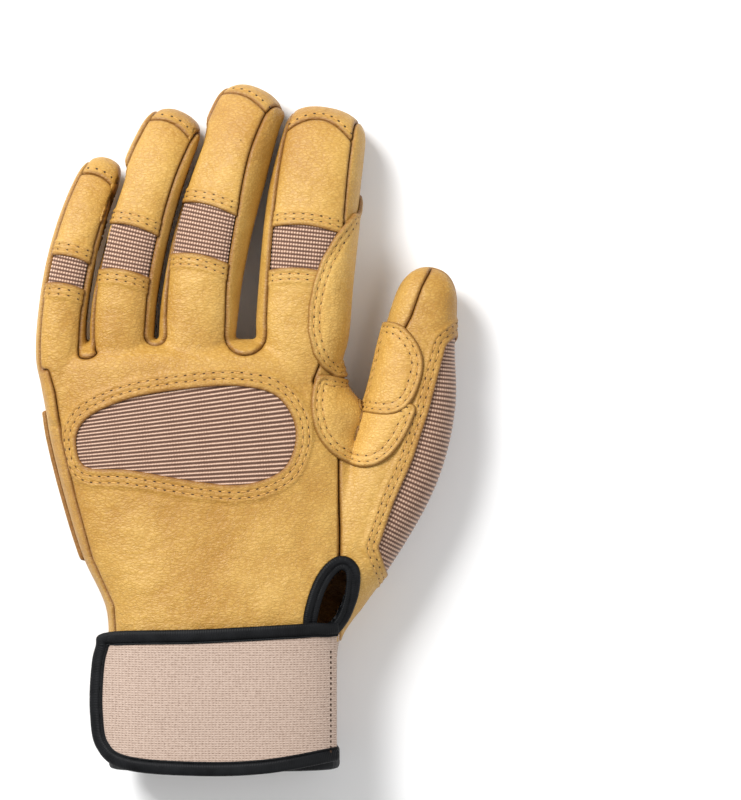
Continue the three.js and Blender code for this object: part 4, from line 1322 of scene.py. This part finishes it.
# The vent's binding: black tape folded round the edge of the oval opening at the wrist, which shows as an
# outer and an inner roll.
def vent_roll(distance):
    outer = (distance - 1.5) / 1.6
    inner = (distance - 4.0) / 1.2
    return np.maximum(1.5 * np.sqrt(np.maximum(1 - outer ** 2, 0)), np.sqrt(np.maximum(1 - inner ** 2, 0)))


KINDS["vent"] = (0.0, (0.15, 0.5, 1.0, 1.6, 2.2, 2.6, 2.9, 3.2, 3.6, 4.1, 4.5), vent_roll, ())
tape = stretch([(vent - vent_band + 0.1, "vent"), (-vent, "plain")])
tape.values["run"] = run_along(tape["rest"][:, 0], tape["rest"][:, 1], VENT)
dress("vent_binding", tape, 3.2, black_binding, 0.5, ("run",))

# The pull tab: leather laid on the palm side of the cuff, sewn down with two rows along each side and one
# row round the hole for the carabiner, whose edge is cut raw.
tab_width = 34.0
tab_rows = (2.0, 5.0)
hole_row = 4.5
tab_x, tab_y = np.meshgrid(np.arange(-18, 18.1, cloth_step) + hole_middle[0],
                           np.arange(binding_top - 1, wrist_y + 1, cloth_step))
origins = np.stack([tab_x, tab_y, 0 * tab_x - 50], axis=-1)
grid, read = laid_on_form(origins, 0 * origins + (0, 0, 1))
gx, gy = grid["rest"][:, 0] - hole_middle[0], grid["rest"][:, 1]
tab_side = np.abs(gx) - tab_width / 2
tab_ends = np.maximum(binding_top + 0.2 - gy, gy - wrist_y)
hole = hole_radius - np.hypot(gx, gy - hole_middle[1])


def trimmed(distance):
    return 0.3 * ramp(distance, 6.0, 5.2) + rolled(distance, 0.6) - groove_depth * grooves(distance, tab_rows)


def raw(distance):
    return rolled(distance, 0.4) - groove_depth * grooves(distance, (hole_row,))


KINDS["trimmed"] = (0.0, (0.3, 1.0, *tab_rows, 5.4, 6.0), trimmed, tab_rows)
KINDS["cut"] = (0.0, (0.3, 1.0, hole_row), raw, (hole_row,))
tab = stretch([(tab_side, "trimmed"), (tab_ends, "plain"), (hole, "cut")], lift=second_layer, base=grid)
sew_along(tab, 0, tab_rows)
sew_along(tab, 2, (hole_row,))
dress("pull_tab", tab, second_layer - 0.1, tan_leather)

# The stitches: ochre thread in short beads that sink between needle holes, whose darkness is painted shade on small
# dark discs. Most rows follow a hem or the edge of a patch, and the rows here follow no edge: across the fingers, in
# the palm, and the holes at the strap's right end.
first_points = np.cumsum([0] + [len(shell["shown"]) for shell in shells[:-1]])
leather_tree = BVHTree.FromPolygons(
    np.concatenate([shell["shown"] for shell in shells]).tolist(),
    np.concatenate([shell.faces + first for shell, first in zip(shells, first_points)]).tolist())
row_half = 0.74
arc_shift = 1.9
double_row = (-2.0, 0.1)
pad_shift = 3.2
strap_end_x = 45.4
cross_rows = on_palm((0.055, 0.155), (0.25, -0.02)), on_palm((0.02, 0.05), (0.3, 0.12))


def sew_over(points, way):
    """A row of stitches over the leather, along points seen from one side."""
    hits = [leather_tree.ray_cast(Vector(p) - Vector(way) * 80, Vector(way)) for p in points]
    hits = [hit for hit in hits if hit[0] is not None]
    if len(hits) > 2:
        normal = np.array([hit[1] for hit in hits])
        normal *= -np.sign((normal * way).sum(1, keepdims=True))
        seams_to_sew.append((np.array([hit[0] for hit in hits]), normal))
        return len(seams_to_sew) - 1


def sew_across(name, share, bulge, side, shift):
    """A row of stitches across a finger, on its back (1) or its front (-1)."""
    finger, limb = FINGERS[name], limbs[name]
    u = np.linspace(-row_half, row_half, 24)
    place = share * finger["length"] + shift + bulge * finger["width"] * (1 - (u / seam_share) ** 2)
    points = limb.at("centre", place) + limb.at("across", place) * (u * limb.at("half", place))[:, None]
    sew_over(points, -side * limb.at("up", place[12]))


for name in NAMES:
    finger = FINGERS[name]
    sew_across(name, finger["arc"], finger["arc_bulge"], 1, arc_shift)
    for shift in double_row:
        sew_across(name, finger["cap"], 0, -1, shift)
        sew_across(name, finger["pad"], 0, -1, shift + pad_shift)
        sew_across(name, finger["fold"], 0, -1, shift)
strap_end = np.array([(strap_end_x, y, 0) for y in np.linspace(wrist_y - 3.5, hem_y + 7, 40)])
strap_seam = sew_over(strap_end, np.array((0, 0, -1.0)))
for x_shift in (-1.0, 1.0):
    for start, end in cross_rows:
        across_row = unit(np.array([end[1] - start[1], start[0] - end[0]])) * x_shift
        steps = np.linspace(0, 1, 20)[:, None]
        row = start + (end - start) * steps + across_row
        sew_over(np.concatenate([row, 0 * steps], axis=1), np.array((0, 0, 1.0)))

thread_pitch = 3.4
thread_share = 0.37
thread_wide = 0.26
thread_high = 0.24
thread_proud = 0.02
hole_size = 0.42
hole_long = 1.25
hole_dome = 0.3
hole_proud = 0.03
strap_pitch_share = 1.8
disc_sides = 8


def stitches():
    """All the thread and its needle holes, each as one mesh."""
    bm = bmesh.new()
    bmesh.ops.create_uvsphere(bm, u_segments=6, v_segments=4, radius=1)
    bead = np.array([v.co for v in bm.verts])
    bead_faces = [[v.index for v in f.verts] for f in bm.faces]
    bm.free()
    turn = np.linspace(0, 2 * math.pi, disc_sides, endpoint=False)
    disc = np.concatenate([np.stack([np.cos(turn), np.sin(turn), 0 * turn], axis=1), [[0, 0, 0.25]]])
    disc_faces = [[i, (i + 1) % disc_sides, disc_sides] for i in range(disc_sides)]
    thread, thread_faces, holes, hole_faces = [], [], [], []
    for number, (points, normal) in enumerate(seams_to_sew):
        step = np.linalg.norm(np.diff(points, axis=0), axis=1)
        run = np.concatenate([[0], np.cumsum(step)])
        if run[-1] < thread_pitch:
            continue
        holes_alone = number == strap_seam
        count = max(1, round(run[-1] / thread_pitch * (strap_pitch_share if holes_alone else 1)))
        stops = np.linspace(0, run[-1], count + 1)
        at = np.stack([np.interp(stops, run, points[:, k]) for k in range(3)], axis=1)
        up = unit(np.stack([np.interp(stops, run, normal[:, k]) for k in range(3)], axis=1))
        middle, lift = (at[1:] + at[:-1]) / 2, unit(up[1:] + up[:-1])
        ahead = unit(at[1:] - at[:-1])
        beside = unit(np.cross(lift, ahead))
        lift = np.cross(ahead, beside)
        length = np.linalg.norm(at[1:] - at[:-1], axis=1) * thread_share
        for m, a, b, c, size in () if holes_alone else zip(middle, ahead, beside, lift, length):
            thread_faces += [[i + len(thread) * len(bead) for i in face] for face in bead_faces]
            thread.append(m + bead[:, 2:3] * a * size + bead[:, 0:1] * b * thread_wide
                          + (bead[:, 1:2] * thread_high + thread_proud) * c)
        ahead = np.concatenate([ahead, ahead[-1:]])
        beside = unit(np.cross(up, ahead))
        # Each needle hole is a small dark disc that paints the shade of a hole.
        for p, a, b, c in zip(at, ahead, beside, up):
            hole_faces += [[i + len(holes) * len(disc) for i in face] for face in disc_faces]
            holes.append(p + disc[:, 0:1] * a * hole_size * hole_long + disc[:, 1:2] * b * hole_size
                         + (disc[:, 2:3] * hole_dome + hole_proud) * c)
    for name, parts, faces, material in (("thread", thread, thread_faces, thread_material),
                                         ("needle_holes", holes, hole_faces, hole_material)):
        mesh = bpy.data.meshes.new(name)
        mesh.from_pydata(((np.concatenate(parts) + to_frame) * 0.001).tolist(), [], faces)
        mesh.polygons.foreach_set("use_smooth", np.ones(len(faces), bool))
        mesh.materials.append(material)
        piece = bpy.data.objects.new(name, mesh)
        bpy.context.scene.collection.objects.link(piece)
        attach(piece, "root")


def thread_finish(wire, place):
    twist = wire.node("ShaderNodeTexNoise", Vector=place, Scale=1500.0)
    stops = [(0.3, (0.42, 0.2, 0.04)), (0.7, (0.66, 0.38, 0.1))]
    return {"Base_Color": wire.node("ShaderNodeValToRGB", {"stops": stops}, _0=twist)}


# Painted shade: the needle holes are near-black discs laid on the leather, not openings.
def hole_finish(wire, place):
    speckle = wire.node("ShaderNodeTexNoise", Vector=place, Scale=900.0)
    stops = [(0.3, (0.02, 0.008, 0.002)), (0.7, (0.05, 0.02, 0.005))]
    return {"Base_Color": wire.node("ShaderNodeValToRGB", {"stops": stops}, _0=speckle)}


thread_material = finish("thread", thread_finish, Roughness=0.7)
hole_material = finish("needle_hole", hole_finish, Roughness=0.9)
stitches()
thin_inner_walls()

# The stage: a plain pale floor, soft studio light, and the camera straight above.
floor = bpy.data.meshes.new("floor")
bm = bmesh.new()
bmesh.ops.create_grid(bm, x_segments=1, y_segments=1, size=3)
bm.to_mesh(floor)
bm.free()
floor = bpy.data.objects.new("floor", floor)
bpy.context.scene.collection.objects.link(floor)
paper = bpy.data.materials.new("paper")
paper.use_nodes = True
sheet = paper.node_tree.nodes["Principled BSDF"].inputs
sheet["Base Color"].default_value = (0.9, 0.9, 0.9, 1)
sheet["Roughness"].default_value = 0.8
floor.data.materials.append(paper)

world = bpy.data.worlds.new("studio")
bpy.context.scene.world = world
world.use_nodes = True
sky = world.node_tree.nodes["Background"].inputs
sky["Color"].default_value = (1, 1, 1, 1)
sky["Strength"].default_value = 0.42


def lamp(name, place, size, power):
    light = bpy.data.lights.new(name, "AREA")
    light.size, light.energy = size, power
    holder = bpy.data.objects.new(name, light)
    bpy.context.scene.collection.objects.link(holder)
    holder.location = place
    holder.rotation_euler = (Vector((0, 0, 0)) - Vector(place)).to_track_quat("-Z", "Y").to_euler()


lamp("key", place=(-0.55, 0.6, 0.8), size=0.5, power=19)
lamp("fill", place=(0.7, -0.3, 0.9), size=1.0, power=5)

# The camera has the photo's scale, and the hand's own zero stands at the same pixel in both.
pixel = 0.36
picture_wide, picture_high = 741, 800
zero_across, zero_down = 205, 440
distance = 1.6
hand_top = 0.02
view = bpy.data.cameras.new("camera")
view.lens_unit = "FOV"
camera = bpy.data.objects.new("camera", view)
bpy.context.scene.collection.objects.link(camera)
bpy.context.scene.camera = camera
look_at = np.array([picture_wide / 2 - zero_across, zero_down - picture_high / 2, 0]) * pixel + to_frame
camera.location = (look_at[0] * 0.001, look_at[1] * 0.001, distance + hand_top)
view.angle = 2 * math.atan(picture_high * pixel * 0.001 / 2 / distance)
view.clip_start = 0.01

bpy.context.scene.view_settings.view_transform = "Standard"
